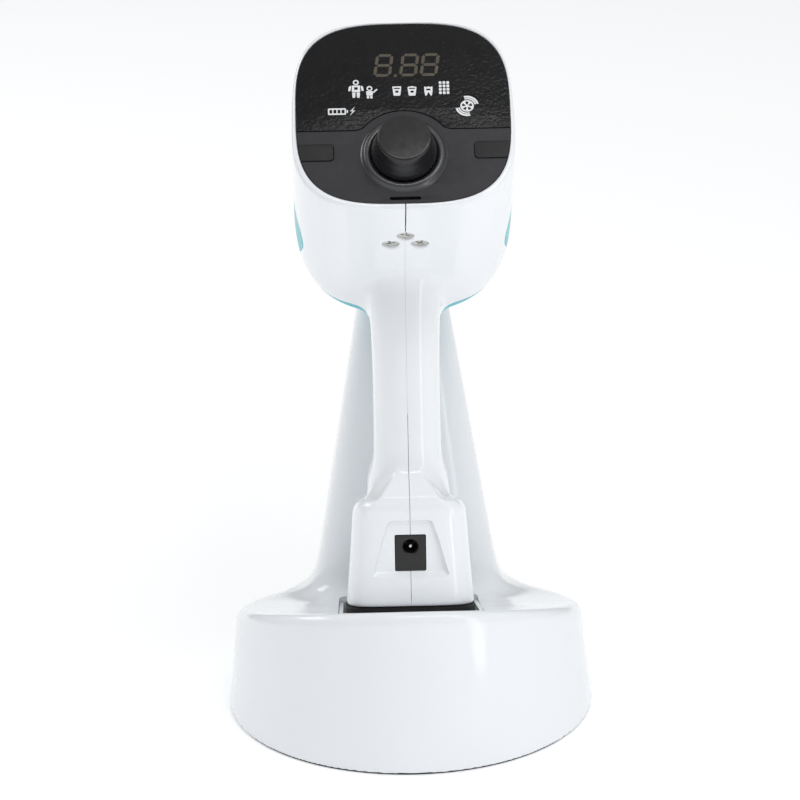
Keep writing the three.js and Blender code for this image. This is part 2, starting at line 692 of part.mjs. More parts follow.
const [buzzerLow, buzzerHigh] = [BOARD_TOP - 5.6, BOARD_TOP - 1.9];
const buzzer = turned([[0, buzzerLow], [4.5, buzzerLow], [4.5, buzzerHigh], [0, buzzerHigh]], 20);
add("buzzer", fromPanel(buzzer.translate([-20, 12, 0])), DARK_PLASTIC);

// ---------- X-ray generator inside the head ----------
const behindBoard = fromPanel(slabOnPanel(30, -200, BOARD_TOP - 7));
const podRoom = headForm(WALL + 1.6).intersect(behindBoard);
const along = (profile, y, segments) =>
  placed(turned(profile, segments), alongY, new THREE.Vector3(0, y, BEAM_Z));
const TUBE_Y = 12; // the tube lies across the beam
const across = (profile, segments) =>
  placed(turned(profile, segments), new THREE.Vector3(1, 0, 0), new THREE.Vector3(0, TUBE_Y, BEAM_Z));
let tubeHead = along([[0, 0], [30, 0], [30, 73], [0, 73]], -22, 40).intersect(podRoom);
tubeHead = tubeHead.subtract(along([[0, 0], [9, 0], [9, 60], [0, 60]], 20, 32));
tubeHead = tubeHead.subtract(across([[0, -23], [13, -23], [13, 23], [0, 23]], 32));
tubeHead = tubeHead.subtract(block(-40, 40, TUBE_Y - 0.5, TUBE_Y + 0.5, BEAM_Z + 5, BEAM_Z + 60));
add("tube_head", tubeHead, LEAD);
const tubeLine = [
  [0, -20],
  [3, -20],
  [3, -16],
  [6, -15],
  [7.5, -9],
  [11, -5],
  [11, 7],
  [7.5, 11],
  [6, 16],
  [3, 17],
  [3, 20],
  [0, 20],
];
add("xray_tube", across(tubeLine, 20), CERAMIC);
add("aluminium_filter", along([[0, 0], [14, 0], [14, 1.5], [0, 1.5]], 51.4, 32), ALUMINIUM);
add("lead_collimator", along([[9, 0], [24, 0], [24, 3], [9, 3]], 53.4, 32), LEAD);

// ---------- beam cone ----------
const mountRingLine = [
  [28.6, 59],
  [30.6, 59],
  [30.6, 62.3],
  [37, 62.3],
  [37, 65],
  [35, 70],
  [28.6, 70],
];
add("cone_mount_ring", along(mountRingLine, 0, 32), WHITE);
add("beam_window", along([[0, 60.5], [28.2, 60.5], [28.2, 62], [0, 62]], 0, 40), DARK_PLASTIC);
const coneLine = [
  [29, CONE_START],
  [33, CONE_START],
  [33, 74],
  [32, 76],
  [30.6, CONE_END],
  [27.8, CONE_END],
];
add("beam_cone", along(coneLine, 0, 32), CONE_GREY);
const liningLine = [
  [27.7, CONE_START],
  [28.7, CONE_START],
  [27.4, CONE_END],
  [26.5, CONE_END],
];
add("cone_lining", along(liningLine, 0, 32), LEAD);
const tipLine = [
  [26.6, CONE_END + GAP],
  [30.4, CONE_END + GAP],
  [30.2, 180],
  [29, 181.5],
  [27, 181.5],
  [26.6, 181],
];
add("cone_tip_ring", along(tipLine, 0, 32), RUBBER);

// ---------- handle: trigger, electronics, battery ----------
const TRIGGER_MIDDLE = (TRIGGER_LOW + TRIGGER_HIGH) / 2;
const triggerCap = sideSlab(
  [
    [5.8, TRIGGER_LOW + GAP],
    [12.5, TRIGGER_LOW + GAP],
    [14, TRIGGER_LOW + 3],
    [18.4, TRIGGER_MIDDLE + 1],
    [21, TRIGGER_HIGH - 3],
    [20, TRIGGER_HIGH - GAP],
    [5.8, TRIGGER_HIGH - GAP],
  ],
  6,
);
const seatDrill = turned([[0, 0], [2.8, 0], [2.8, 6], [0, 6]], 16);
const springSeat = placed(seatDrill, alongY, new THREE.Vector3(0, 4, TRIGGER_MIDDLE));
add("exposure_trigger", triggerCap.subtract(springSeat), KNOB_BLACK);
const springBody = turned([[1.7, 0], [2.4, 0], [2.4, 9.4], [1.7, 9.4]], 16);
add("trigger_spring", placed(springBody, alongY, new THREE.Vector3(0, 0.2, TRIGGER_MIDDLE)), STEEL);
const switchBody = block(-3, 3, -8, -0.1, TRIGGER_MIDDLE - 6, TRIGGER_MIDDLE + 6);
add("trigger_switch", switchBody, DARK_PLASTIC);

add("control_board", block(-8, 8, -14.6, -13, 112, 160), BOARD);
for (const [name, x] of [["battery_cell_left", -9.2], ["battery_cell_right", 9.2]]) {
  const cell = turned([[0, 0], [9, 0], [9, 38], [3, 38], [3, 39], [0, 39]], 24);
  add(name, placed(cell, alongY, new THREE.Vector3(x, -36.2, 66)), CELL_BLUE);
}

// DC inlet in the near face of the foot
const jackFace = RECESS_FLOOR - 0.2;
let jack = block(-JACK_HALF, JACK_HALF, jackFace, jackFace + 9.6, JACK_Z - JACK_RISE, JACK_Z + JACK_RISE);
const socket = turned([[0, 0], [3, 0], [3, 8], [0, 8]], 24);
jack = jack.subtract(placed(socket, alongY, new THREE.Vector3(0, jackFace - 0.5, JACK_Z + 2.4)));
const pin = turned([[0, 0], [1, 0], [1, 6.6], [0, 6.6]], 16);
add("dc_inlet", jack, RUBBER);
add("dc_inlet_pin", placed(pin, alongY, new THREE.Vector3(0, jackFace + 0.6, JACK_Z + 2.4)), STEEL);

// rubber boot under the foot, resting in the pocket
const bootSide = (low, high) => {
  const lower = [-80, 60].map((y) => [y, footUnderside(y) - low]);
  const upper = [60, -80].map((y) => [y, footUnderside(y) - high]);
  return sideSlab([...lower, ...upper], 60);
};
const bootOutline = loft([
  levelRing(24.2, FOOT_NEAR, FOOT_FAR - 1, 20, 5, 40),
  levelRing(24.2, FOOT_NEAR, FOOT_FAR - 1, 80, 5, 40),
]);
const bootFloor = pocketForm(GAP + 1.8 + GAP, POCKET_DEPTH - GAP);
add("foot_boot", bootOutline.intersect(bootSide(40, GAP)).intersect(bootFloor), RUBBER);

export default group;
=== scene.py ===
"""Looks of a handheld intraoral X-ray unit in its cradle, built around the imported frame.

Lengths are in millimetres until a mesh is written; the frame itself is in metres.
"""
import math

import bmesh
import bpy
import numpy as np
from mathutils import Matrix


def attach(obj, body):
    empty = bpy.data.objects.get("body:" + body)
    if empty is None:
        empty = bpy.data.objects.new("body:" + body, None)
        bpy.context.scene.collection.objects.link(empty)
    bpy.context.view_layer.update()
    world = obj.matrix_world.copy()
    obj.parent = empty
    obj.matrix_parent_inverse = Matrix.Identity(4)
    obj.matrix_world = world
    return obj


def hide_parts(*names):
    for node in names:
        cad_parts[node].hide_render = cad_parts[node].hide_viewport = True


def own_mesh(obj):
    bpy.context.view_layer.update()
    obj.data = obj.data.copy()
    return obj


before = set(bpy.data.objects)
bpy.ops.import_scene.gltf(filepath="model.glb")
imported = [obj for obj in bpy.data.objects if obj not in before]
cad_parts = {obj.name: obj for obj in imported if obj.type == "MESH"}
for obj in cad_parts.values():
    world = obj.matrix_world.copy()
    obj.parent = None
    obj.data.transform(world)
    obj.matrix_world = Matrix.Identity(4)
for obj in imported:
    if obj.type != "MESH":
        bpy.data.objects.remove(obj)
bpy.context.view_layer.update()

import openvdb
from mathutils import Matrix, Vector

MM = 0.001
WELD_DISTANCE = 1e-6

# ---------- driving dimensions, the same as the frame's ----------
BASE_RADIUS = 70.0
BASE_DRAFT = 0.105  # radius lost per millimetre of height
BASE_WALL = 3.0
BASE_ROOF = 3.2  # wall under the sloping top
BASE_BOTTOM = 0.8  # lower rim above the table
BASE_TOP = 39.3
BASE_SLOPE = -0.289
BASE_CURVE = 0.00118
BASE_EDGE_BLEND = 8.0
COLUMN_TOP = 150.0
COLUMN_ROOT = 35.0
COLUMN_TOP_HALF = 17.3
COLUMN_SPREAD = 0.166  # half width gained per millimetre downwards
COLUMN_POWER = 3.4
COLUMN_FLARE = 20.0  # rounding between column and drum
COVER_FACE = 58.0  # back of the column at its top
POCKET_HALF = 27.0
POCKET_NEAR = -50.0
POCKET_FAR = 15.5
POCKET_DEPTH = 10.0

BARREL_HALF = 41.6
BARREL_DEPTH = 43.2
BARREL_POWER = 2.42
BARREL_Z = 196.5
BEAM_Z = 194.5
HEAD_FRONT = 62.0
PANEL_CENTRE = np.array([0.0, -31.9, 239.7])
PANEL_TILT = math.radians(45)
PANEL_HALF_X = 37.9
PANEL_HALF_Y = 37.2
PANEL_POWER = 3.2
PANEL_SHIFT = 0.2  # the panel's outline sits this far up its plane
PANEL_THICKNESS = 2.6
RIM = 2.3
RIM_PROUD = 0.5
UNDERSIDE_DROP = math.radians(41)
FOOT_LOW = 42.0
FOOT_SLOPE = -0.333
FOOT_TOP_BLEND = 7.5
NECK_BLEND = 9.0  # rounding between head and handle
WALL = 2.6
SEAM = 0.024  # half of the gap between the two housing halves
LOW_SEAM = 0.08  # the same below the middle of the handle
OPEN_SEAM = 0.19  # and on the underside of the head, where the halves part a little

KNOB_Y = -17.3
KNOB_HEIGHT = 12.1
JACK_Z = 78.4
FOOT_NEAR = -47.5
FOOT_FAR = 11.0
CONE_END = 176.0
SPRING_Z = 147.0

# sections: height, half width, near face, far face, squareness
GRIP = [
    (70, 15.5, -45.5, 11, 3.2),
    (96, 15.2, -42.0, 10, 3.0),
    (99, 14.3, -39.4, 8.6, 2.9),
    (102, 13.4, -37.2, 7.2, 2.8),
    (106, 12.8, -35.6, 6.2, 2.8),
    (112, 12.55, -34.3, 6, 2.7),
    (118, 12.5, -33.4, 7, 2.7),
    (134, 12.4, -30.2, 10.5, 2.7),
    (148, 12.6, -27.4, 13.5, 2.7),
    (158, 13.0, -25.6, 16.5, 2.7),
    (168, 13.4, -24.0, 18.8, 2.7),
    (190, 13.5, -20, 20, 2.7),
]
FOOT = [
    (30, 25.9, -49.8, 12, 5),
    (58, 23.9, -48.7, 12, 5),
    (77, 22.3, -48.1, 12, 5),
    (110, 19.9, -47.0, 12, 5),
]
FOOT_TOP = 99.4
# wedge on the foot's near side: its upper edge (y, z), its slope, its flanks and where it ends
SHELF_TOP = (-35.2, 106.4)
SHELF_SLOPE = 0.65
SHELF_HALF = 4.2
SHELF_FLANK = 0.95
SHELF_NEAR = -45.5
SHELF_LOW = 94
SHELF_FAR = -30
# roof of the head: distance along the beam, rise above the barrel's middle, squareness
ROOF = [(-95, 125, 4), (-5, 71.4, 4), (12, 59.5, 3.4), (28, 48.5, 2.9), (42, 42.5, 2.5), (95, 41.5, 2.4)]


# ---------- smooth tables and fields ----------
def smooth_table(rows, blur):
    """A finely stepped copy of a table, softened so that the surface through it has no kinks."""
    rows = np.array(rows, float)
    at = np.arange(rows[0, 0], rows[-1, 0] + 0.25, 0.25)
    reach = int(3 * blur / 0.25)
    weights = np.exp(-0.5 * (np.arange(-reach, reach + 1) * 0.25 / blur) ** 2)
    weights /= weights.sum()
    columns = []
    for k in range(1, rows.shape[1]):
        line = np.interp(at, rows[:, 0], rows[:, k])
        first = line[0] + (line[0] - line[1]) * np.arange(reach, 0, -1)
        last = line[-1] + (line[-1] - line[-2]) * np.arange(1, reach + 1)
        columns.append(np.convolve(np.concatenate([first, line, last]), weights, "valid"))
    return at, columns


GRIP_TABLE = smooth_table(GRIP, 1.6)
FOOT_TABLE = smooth_table(FOOT, 1.6)
ROOF_TABLE = smooth_table(ROOF, 7.0)


def read_table(table, at):
    return [np.interp(at, table[0], column) for column in table[1]]


def superellipse(u, v, half_u, half_v, power):
    """Distance to a superellipse, near enough close to its edge."""
    pu = np.abs(u) / half_u + 1e-9
    pv = np.abs(v) / half_v + 1e-9
    g = (pu**power + pv**power) ** (1 / power)
    slope_u = (pu / g) ** (power - 1) / half_u
    slope_v = (pv / g) ** (power - 1) / half_v
    return (g - 1) / np.sqrt(slope_u**2 + slope_v**2)


def both(a, b, blend):
    """Where a and b both hold, with a rounded edge."""
    overlap = np.maximum(blend - np.abs(a - b), 0) / blend
    return np.maximum(a, b) + overlap**3 * (blend / 6)


def either(a, b, blend):
    return -both(-a, -b, blend)


def base_top(y):
    return BASE_TOP + BASE_SLOPE * y + BASE_CURVE * y * y


def panel_axes(y, z):
    """Distance from the panel's plane, then slanted coordinates along the panel and the underside."""
    qy = y - PANEL_CENTRE[1]
    qz = z - PANEL_CENTRE[2]
    out = -qy * math.cos(PANEL_TILT) + qz * math.sin(PANEL_TILT)
    c, s = math.cos(UNDERSIDE_DROP), math.sin(UNDERSIDE_DROP)
    det = math.sin(PANEL_TILT) * s + math.cos(PANEL_TILT) * c
    up = (s * qy + c * qz) / det
    deep = (math.cos(PANEL_TILT) * qy - math.sin(PANEL_TILT) * qz) / det
    return out, up, deep


def barrel(x, y, z):
    rise, roof_power = read_table(ROOF_TABLE, y)
    high = z > BARREL_Z
    depth = np.where(high, rise, BARREL_DEPTH)
    power = np.where(high, roof_power, BARREL_POWER)
    return superellipse(x, z - BARREL_Z, BARREL_HALF, depth, power)


def head(x, y, z):
    out, up, deep = panel_axes(y, z)
    spread = 1 + 0.0004 * deep
    rise = up - PANEL_SHIFT
    rise = np.where(rise > 0, rise / (1 + 0.0128 * np.maximum(deep, 0)), rise)
    half_x = PANEL_HALF_X + RIM
    half_y = PANEL_HALF_Y + RIM
    prism = superellipse(x / spread, rise / spread, half_x, half_y, PANEL_POWER)
    body = both(barrel(x, y, z), prism, 7)
    body = both(body, out - RIM_PROUD, 2.4)
    return both(body, y - HEAD_FRONT, 8)


def tapered(table, x, y, z):
    half, near, far, power = read_table(table, z)
    return superellipse(x, y - (near + far) / 2, half, (far - near) / 2, power)


def handle(x, y, z):
    grip = np.maximum(tapered(GRIP_TABLE, x, y, z), z - 186)
    level = z - FOOT_SLOPE * (y - FOOT_NEAR)
    roof = (level - FOOT_TOP) / math.hypot(1, FOOT_SLOPE)
    foot = both(tapered(FOOT_TABLE, x, y, level), roof, FOOT_TOP_BLEND)
    shelf = (z - SHELF_TOP[1] - SHELF_SLOPE * (y - SHELF_TOP[0])) / math.hypot(1, SHELF_SLOPE)
    flank = (np.abs(x) - SHELF_HALF - SHELF_FLANK * (SHELF_TOP[1] - z)) / math.hypot(1, SHELF_FLANK)
    wedge = both(both(shelf, flank, 1.2), SHELF_NEAR - y, 1)
    wedge = np.maximum(wedge, np.maximum(SHELF_LOW - z, y - SHELF_FAR))
    whole = either(either(foot, grip, 5.5), wedge, 2.5)
    sole = (FOOT_LOW + FOOT_SLOPE * y - z) / math.hypot(1, FOOT_SLOPE)
    return both(whole, sole, 3)


def housing_field(x, y, z):
    return either(head(x, y, z), handle(x, y, z), NECK_BLEND)


def cover_face(z):
    """How far back the column's rear face stands at a height."""
    return COVER_FACE + 2 * ((COLUMN_TOP - z) / (COLUMN_TOP - COLUMN_ROOT))


def column(x, y, z):
    share = (COLUMN_TOP - z) / (COLUMN_TOP - COLUMN_ROOT)
    half = COLUMN_TOP_HALF + COLUMN_SPREAD * (COLUMN_TOP - z)
    near = 30 - 10 * share
    far = cover_face(z)
    return superellipse(x, y - (near + far) / 2, half, (far - near) / 2, COLUMN_POWER)


def stand_field(x, y, z):
    radius = np.sqrt(x * x + y * y)
    side = radius - (BASE_RADIUS - BASE_DRAFT * z)
    slope = BASE_SLOPE + 2 * BASE_CURVE * y
    top = (z - base_top(y)) / np.sqrt(1 + slope * slope)
    drum = both(side, top, BASE_EDGE_BLEND)
    post = both(column(x, y, z), -(barrel(x, y, z) - 2.6), 2.5)
    post = both(post, z - 160, 2)
    whole = either(drum, post, COLUMN_FLARE)
    return both(whole, BASE_BOTTOM - z, 0.6)


def stand_inside(x, y, z):
    radius = np.sqrt(x * x + y * y)
    side = radius - (BASE_RADIUS - BASE_WALL - BASE_DRAFT * z)
    drum = np.maximum(side, z - base_top(y) + BASE_ROOF)
    post = np.maximum(column(x, y, z) + WALL, z - (COLUMN_TOP - 5))
    return np.maximum(either(drum, post, COLUMN_FLARE), -6 - z)


# ---------- meshes ----------
def linked(name, data):
    """A new object in the scene."""
    obj = bpy.data.objects.new(name, data)
    bpy.context.scene.collection.objects.link(obj)
    return obj


def settle(field, points, pitch):
    """Moves points onto the zero surface of a field."""
    step = 0.02
    for _ in range(3):
        value = field(*points.T)
        slope = np.empty_like(points)
        for axis in range(3):
            nudge = np.zeros(3)
            nudge[axis] = step
            slope[:, axis] = (field(*(points + nudge).T) - field(*(points - nudge).T)) / (2 * step)
        move = value[:, None] * slope / np.maximum((slope**2).sum(1), 0.05)[:, None]
        length = np.linalg.norm(move, axis=1)
        points = points - move * np.minimum(1, pitch / np.maximum(length, 1e-9))[:, None]
    return points


def field_mesh(name, field, low, high, pitch):
    """A closed mesh, in metres, of the zero surface of a field."""
    axes = [np.arange(a, b + pitch, pitch) for a, b in zip(low, high)]
    x, y, z = np.meshgrid(*axes, indexing="ij", sparse=True)
    values = np.broadcast_to(field(x, y, z), [len(a) for a in axes])
    grid = openvdb.FloatGrid(100.0)
    grid.copyFromArray(np.ascontiguousarray(values, dtype=np.float32))
    points, quads = grid.convertToQuads(isovalue=0.0)
    points = settle(field, points.astype(float) * pitch + np.array(low), pitch)
    mesh = bpy.data.meshes.new(name)
    mesh.from_pydata((points * MM).tolist(), [], quads.tolist())
    obj = linked(name, mesh)
    face_out(obj)
    return obj


def face_out(obj):
    """Turns every face outwards."""
    work = bmesh.new()
    work.from_mesh(obj.data)
    if work.calc_volume(signed=True) < 0:
        bmesh.ops.reverse_faces(work, faces=work.faces[:])
    work.to_mesh(obj.data)
    work.free()


def evaluated_mesh(obj):
    graph = bpy.context.evaluated_depsgraph_get()
    graph.update()
    return bpy.data.meshes.new_from_object(obj.evaluated_get(graph))


def combine(obj, tool, operation="DIFFERENCE", keep_tool=False):
    """Cuts, keeps or joins with a tool and applies the result to the mesh."""
    change = obj.modifiers.new("cut", "BOOLEAN")
    change.operation = operation
    change.solver = "MANIFOLD"
    change.object = tool
    fresh = evaluated_mesh(obj)
    obj.modifiers.clear()
    obj.data = fresh
    if not keep_tool:
        bpy.data.objects.remove(tool)
    return obj


def mesh_object(name, points, faces):
    """An object from points in millimetres."""
    mesh = bpy.data.meshes.new(name)
    mesh.from_pydata([tuple(c * MM for c in p) for p in points], [], faces)
    return linked(name, mesh)


def box_object(name, low, high):
    points = [(x, y, z) for x in (low[0], high[0]) for y in (low[1], high[1]) for z in (low[2], high[2])]
    faces = [(0, 1, 3, 2), (4, 6, 7, 5), (0, 4, 5, 1), (2, 3, 7, 6), (0, 2, 6, 4), (1, 5, 7, 3)]
    return mesh_object(name, points, faces)


def loft(name, rings):
    """A closed skin through rings of equal length, capped with one face at each end."""
    count = len(rings[0])
    points = [tuple(p) for ring in rings for p in ring]
    faces = []
    for r in range(len(rings) - 1):
        for i in range(count):
            j = (i + 1) % count
            faces.append((r * count + i, r * count + j, (r + 1) * count + j, (r + 1) * count + i))
    faces.append(tuple(reversed(range(count))))
    faces.append(tuple(range((len(rings) - 1) * count, len(rings) * count)))
    obj = mesh_object(name, points, faces)
    face_out(obj)
    return obj


def place(obj, matrix):
    """Moves an object's mesh by a matrix given in millimetres."""
    shift = matrix.copy()
    shift.translation = matrix.translation * MM
    obj.data.transform(shift)
    if shift.to_3x3().determinant() < 0:
        obj.data.flip_normals()
    return obj


def axes_matrix(x_axis, y_axis, z_axis, origin):
    rows = [[x_axis[i], y_axis[i], z_axis[i], origin[i]] for i in range(3)]
    return Matrix(rows + [[0, 0, 0, 1]])


X_AXIS = (1, 0, 0)
PANEL_UP = (0, math.sin(PANEL_TILT), math.cos(PANEL_TILT))
PANEL_OUT = (0, -math.cos(PANEL_TILT), math.sin(PANEL_TILT))
PANEL_MATRIX = axes_matrix(X_AXIS, PANEL_UP, PANEL_OUT, PANEL_CENTRE)


def beam_axes(x, y, z):
    """Axes at a point with Z along the beam."""
    return axes_matrix(X_AXIS, (0, 0, -1), (0, 1, 0), (x, y, z))


BEAM_MATRIX = beam_axes(0, 0, BEAM_Z)


def rounded(profile, radius, closed=True, steps=4):
    """A polyline with its corners rounded by a quadratic curve."""
    out = []
    count = len(profile)
    for i, corner in enumerate(profile):
        corner = np.array(corner, float)
        if not closed and i in (0, count - 1):
            out.append(tuple(corner))
            continue
        before = np.array(profile[i - 1], float) - corner
        after = np.array(profile[(i + 1) % count], float) - corner
        reach = min(radius, 0.45 * np.linalg.norm(before), 0.45 * np.linalg.norm(after))
        start = corner + before / np.linalg.norm(before) * reach
        end = corner + after / np.linalg.norm(after) * reach
        for k in range(steps + 1):
            t = k / steps
            out.append(tuple((1 - t) ** 2 * start + 2 * t * (1 - t) * corner + t * t * end))
    return out


def turned(name, profile, radius, segments):
    """A solid turned about Z from (radius, height) pairs; one that starts on the axis ends on it."""
    on_axis = profile[0][0] == 0
    line = rounded(profile, radius, closed=not on_axis)
    points = []
    faces = []
    rows = []
    for r, h in line:
        if r < 1e-6:
            rows.append([len(points)] * segments)
            points.append((0, 0, h))
        else:
            rows.append(list(range(len(points), len(points) + segments)))
            points += [(x, y, h) for x, y in circle(0, 0, r, segments)]
    pairs = list(zip(rows, rows[1:]))
    if not on_axis:
        pairs.append((rows[-1], rows[0]))
    for a, b in pairs:
        for i in range(segments):
            j = (i + 1) % segments
            face = [a[i], a[j], b[j], b[i]]
            face = [v for k, v in enumerate(face) if v not in face[:k]]
            if len(face) > 2:
                faces.append(face)
    obj = mesh_object(name, points, faces)
    face_out(obj)
    return obj


def plate(name, outlines, low, high, edge):
    """A flat plate with rounded edges from closed outlines; an outline inside another is a hole."""
    curve = bpy.data.curves.new(name, "CURVE")
    curve.dimensions = "2D"
    curve.fill_mode = "BOTH"
    curve.bevel_depth = edge * MM
    curve.bevel_resolution = 2
    curve.offset = -edge * MM
    curve.extrude = ((high - low) / 2 - edge) * MM
    for outline in outlines:
        spline = curve.splines.new("POLY")
        spline.points.add(len(outline) - 1)
        for point, (x, y) in zip(spline.points, outline):
            point.co = (x * MM, y * MM, 0, 1)
        spline.use_cyclic_u = True
    obj = linked(name, curve)
    mesh = evaluated_mesh(obj)
    bpy.data.objects.remove(obj)
    work = bmesh.new()
    work.from_mesh(mesh)
    bmesh.ops.remove_doubles(work, verts=work.verts[:], dist=WELD_DISTANCE)
    bmesh.ops.translate(work, verts=work.verts[:], vec=(0, 0, (low + high) / 2 * MM))
    work.to_mesh(mesh)
    work.free()
    solid = linked(name, mesh)
    face_out(solid)
    return solid


def superellipse_point(half_x, half_y, power, t, centre):
    c, s = math.cos(t), math.sin(t)
    x = half_x * math.copysign(abs(c) ** (2 / power), c)
    y = half_y * math.copysign(abs(s) ** (2 / power), s)
    return x + centre[0], y + centre[1]


def superellipse_outline(half_x, half_y, power, count, centre):
    turns = [2 * math.pi * i / count for i in range(count)]
    return [superellipse_point(half_x, half_y, power, t, centre) for t in turns]


def rounded_box(x0, x1, y0, y1, radius, steps=6):
    return rounded([(x0, y0), (x1, y0), (x1, y1), (x0, y1)], radius, steps=steps)


def circle(x, y, radius, count):
    angles = [2 * math.pi * i / count for i in range(count)]
    return [(x + radius * math.cos(a), y + radius * math.sin(a)) for a in angles]


def show(obj, body, material, replaces=(), sharp=32):
    """Gives a finished piece its body, finish and shading."""
    mesh = obj.data
    mesh.materials.clear()
    mesh.materials.append(material)
    mesh.shade_smooth()
    mesh.set_sharp_from_angle(angle=math.radians(sharp))
    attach(obj, body)
    if replaces:
        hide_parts(*replaces)
    return obj


# ---------- materials ----------
def set_inputs(node, values):
    """Sets the default values of a node's sockets."""
    for name, value in values.items():
        node.inputs[name].default_value = value


NOISE_LOW = 0.3  # the part of a noise's range that carries the change
NOISE_HIGH = 0.7
RELIEF_DEPTH = 0.0004


def finish(name, color, roughness, mottle, grain, metallic=0.0, wear=0.05, specular=0.5, **sockets):
    """A plastic, rubber or metal: colour that drifts a little, uneven gloss and a fine relief.

    mottle is the scale and depth of the colour's drift, grain that of the relief.
    """
    material = bpy.data.materials.new(name)
    material.use_nodes = True
    nodes = material.node_tree.nodes
    links = material.node_tree.links
    shader = nodes["Principled BSDF"]
    set_inputs(shader, {"Metallic": metallic, "Specular IOR Level": specular})
    set_inputs(shader, {key.replace("_", " "): value for key, value in sockets.items()})
    place_node = nodes.new("ShaderNodeTexCoord")

    def noise(scale, detail):
        node = nodes.new("ShaderNodeTexNoise")
        set_inputs(node, {"Scale": scale, "Detail": detail})
        links.new(place_node.outputs["Object"], node.inputs["Vector"])
        return node

    drift = noise(mottle[0], 3)
    ramp = nodes.new("ShaderNodeValToRGB")
    low, high = ramp.color_ramp.elements
    low.position = NOISE_LOW
    high.position = NOISE_HIGH
    low.color = (*[c * (1 - mottle[1]) for c in color], 1)
    high.color = (*[min(1, c * (1 + mottle[1])) for c in color], 1)
    links.new(drift.outputs["Fac"], ramp.inputs["Fac"])
    links.new(ramp.outputs["Color"], shader.inputs["Base Color"])

    smear = noise(mottle[0] * 2.3, 4)
    span = nodes.new("ShaderNodeMapRange")
    set_inputs(span, {"From Min": NOISE_LOW, "From Max": NOISE_HIGH})
    set_inputs(span, {"To Min": max(0.02, roughness - wear), "To Max": min(1, roughness + wear)})
    links.new(smear.outputs["Fac"], span.inputs["Value"])
    links.new(span.outputs["Result"], shader.inputs["Roughness"])

    relief = noise(grain[0], 2)
    bump = nodes.new("ShaderNodeBump")
    set_inputs(bump, {"Strength": grain[1], "Distance": RELIEF_DEPTH})
    links.new(relief.outputs["Fac"], bump.inputs["Height"])
    links.new(bump.outputs["Normal"], shader.inputs["Normal"])
    return material


# name, colour, roughness, mottle, grain
WHITE = finish(
    "white_plastic", (0.85, 0.875, 0.905), 0.14, (25, 0.006), (350, 0.03),
    Coat_Weight=0.25, Coat_Roughness=0.08,
)
TEAL = finish("teal_plastic", (0.04, 0.47, 0.54), 0.24, (40, 0.03), (500, 0.03), specular=0.22)
FASCIA = finish("fascia_plastic", (0.019, 0.0185, 0.0225), 0.46, (120, 0.06), (4200, 0.35), specular=0.4)
WINDOW = finish(
    "window_film", (0.004, 0.0042, 0.005), 0.24, (90, 0.15), (760, 0.6), wear=0.08, specular=0.2
)
KNOB = finish("knob_plastic", (0.009, 0.0088, 0.0102), 0.24, (150, 0.08), (3000, 0.03), specular=0.45)
COLLAR = finish("collar_plastic", (0.024, 0.0245, 0.0275), 0.26, (120, 0.06), (4200, 0.06), specular=0.8)
SCREW = finish("plated_screw", (0.66, 0.65, 0.62), 0.34, (500, 0.12), (2600, 0.15), metallic=1.0, wear=0.1)
KEY = finish("key_plastic", (0.012, 0.012, 0.0135), 0.42, (120, 0.06), (4200, 0.3), specular=0.3)
RUBBER = finish("black_rubber", (0.016, 0.016, 0.018), 0.8, (140, 0.15), (2500, 0.5))
INLET = finish("inlet_plastic", (0.008, 0.0078, 0.0085), 0.4, (200, 0.08), (3500, 0.2))
STEEL = finish(
    "machined_steel", (0.62, 0.63, 0.65), 0.28, (400, 0.08), (2600, 0.12), metallic=1.0, wear=0.1
)
ALUMINIUM = finish("rolled_aluminium", (0.78, 0.79, 0.81), 0.32, (300, 0.05), (2600, 0.1), metallic=1.0)
LEAD = finish("cast_lead", (0.2, 0.21, 0.23), 0.55, (180, 0.2), (900, 0.5), metallic=0.8, wear=0.12)
DARK = finish("dark_plastic", (0.03, 0.032, 0.036), 0.5, (160, 0.08), (2500, 0.2))
CONE = finish("cone_plastic", (0.055, 0.061, 0.069), 0.42, (70, 0.05), (3600, 0.3))
CERAMIC = finish("glazed_ceramic", (0.72, 0.68, 0.6), 0.2, (120, 0.05), (700, 0.05))
BOARD = finish("solder_mask", (0.012, 0.1, 0.045), 0.35, (420, 0.35), (1800, 0.3))
CELL = finish("shrink_sleeve", (0.03, 0.12, 0.36), 0.3, (100, 0.05), (900, 0.15))
PRINT = finish("white_print", (0.8, 0.81, 0.83), 0.45, (700, 0.08), (3000, 0.2))
SEGMENT = finish("unlit_segment", (0.06, 0.049, 0.03), 0.3, (500, 0.2), (1600, 0.4))

# the frame's own meshes that stay in view, by finish
CAD_FINISH = {
    DARK: (
        "base_plate", "rotary_encoder", "left_key_switch", "right_key_switch", "digit_display", "buzzer",
        "trigger_switch",
    ),
    STEEL: ("ballast_weight", "knob_shaft", *[f"base_screw_{i}" for i in range(1, 5)]),
    BOARD: ("display_board", "control_board"),
    LEAD: ("tube_head", "lead_collimator"),
    CERAMIC: ("xray_tube",),
    ALUMINIUM: ("aluminium_filter",),
    CELL: ("battery_cell_left", "battery_cell_right"),
}
for material, nodes_of_finish in CAD_FINISH.items():
    for node in nodes_of_finish:
        piece = bpy.data.objects[node]
        for place_slot in piece.material_slots:
            place_slot.material = material
        weld = piece.modifiers.new("weld", "WELD")
        weld.merge_threshold = WELD_DISTANCE


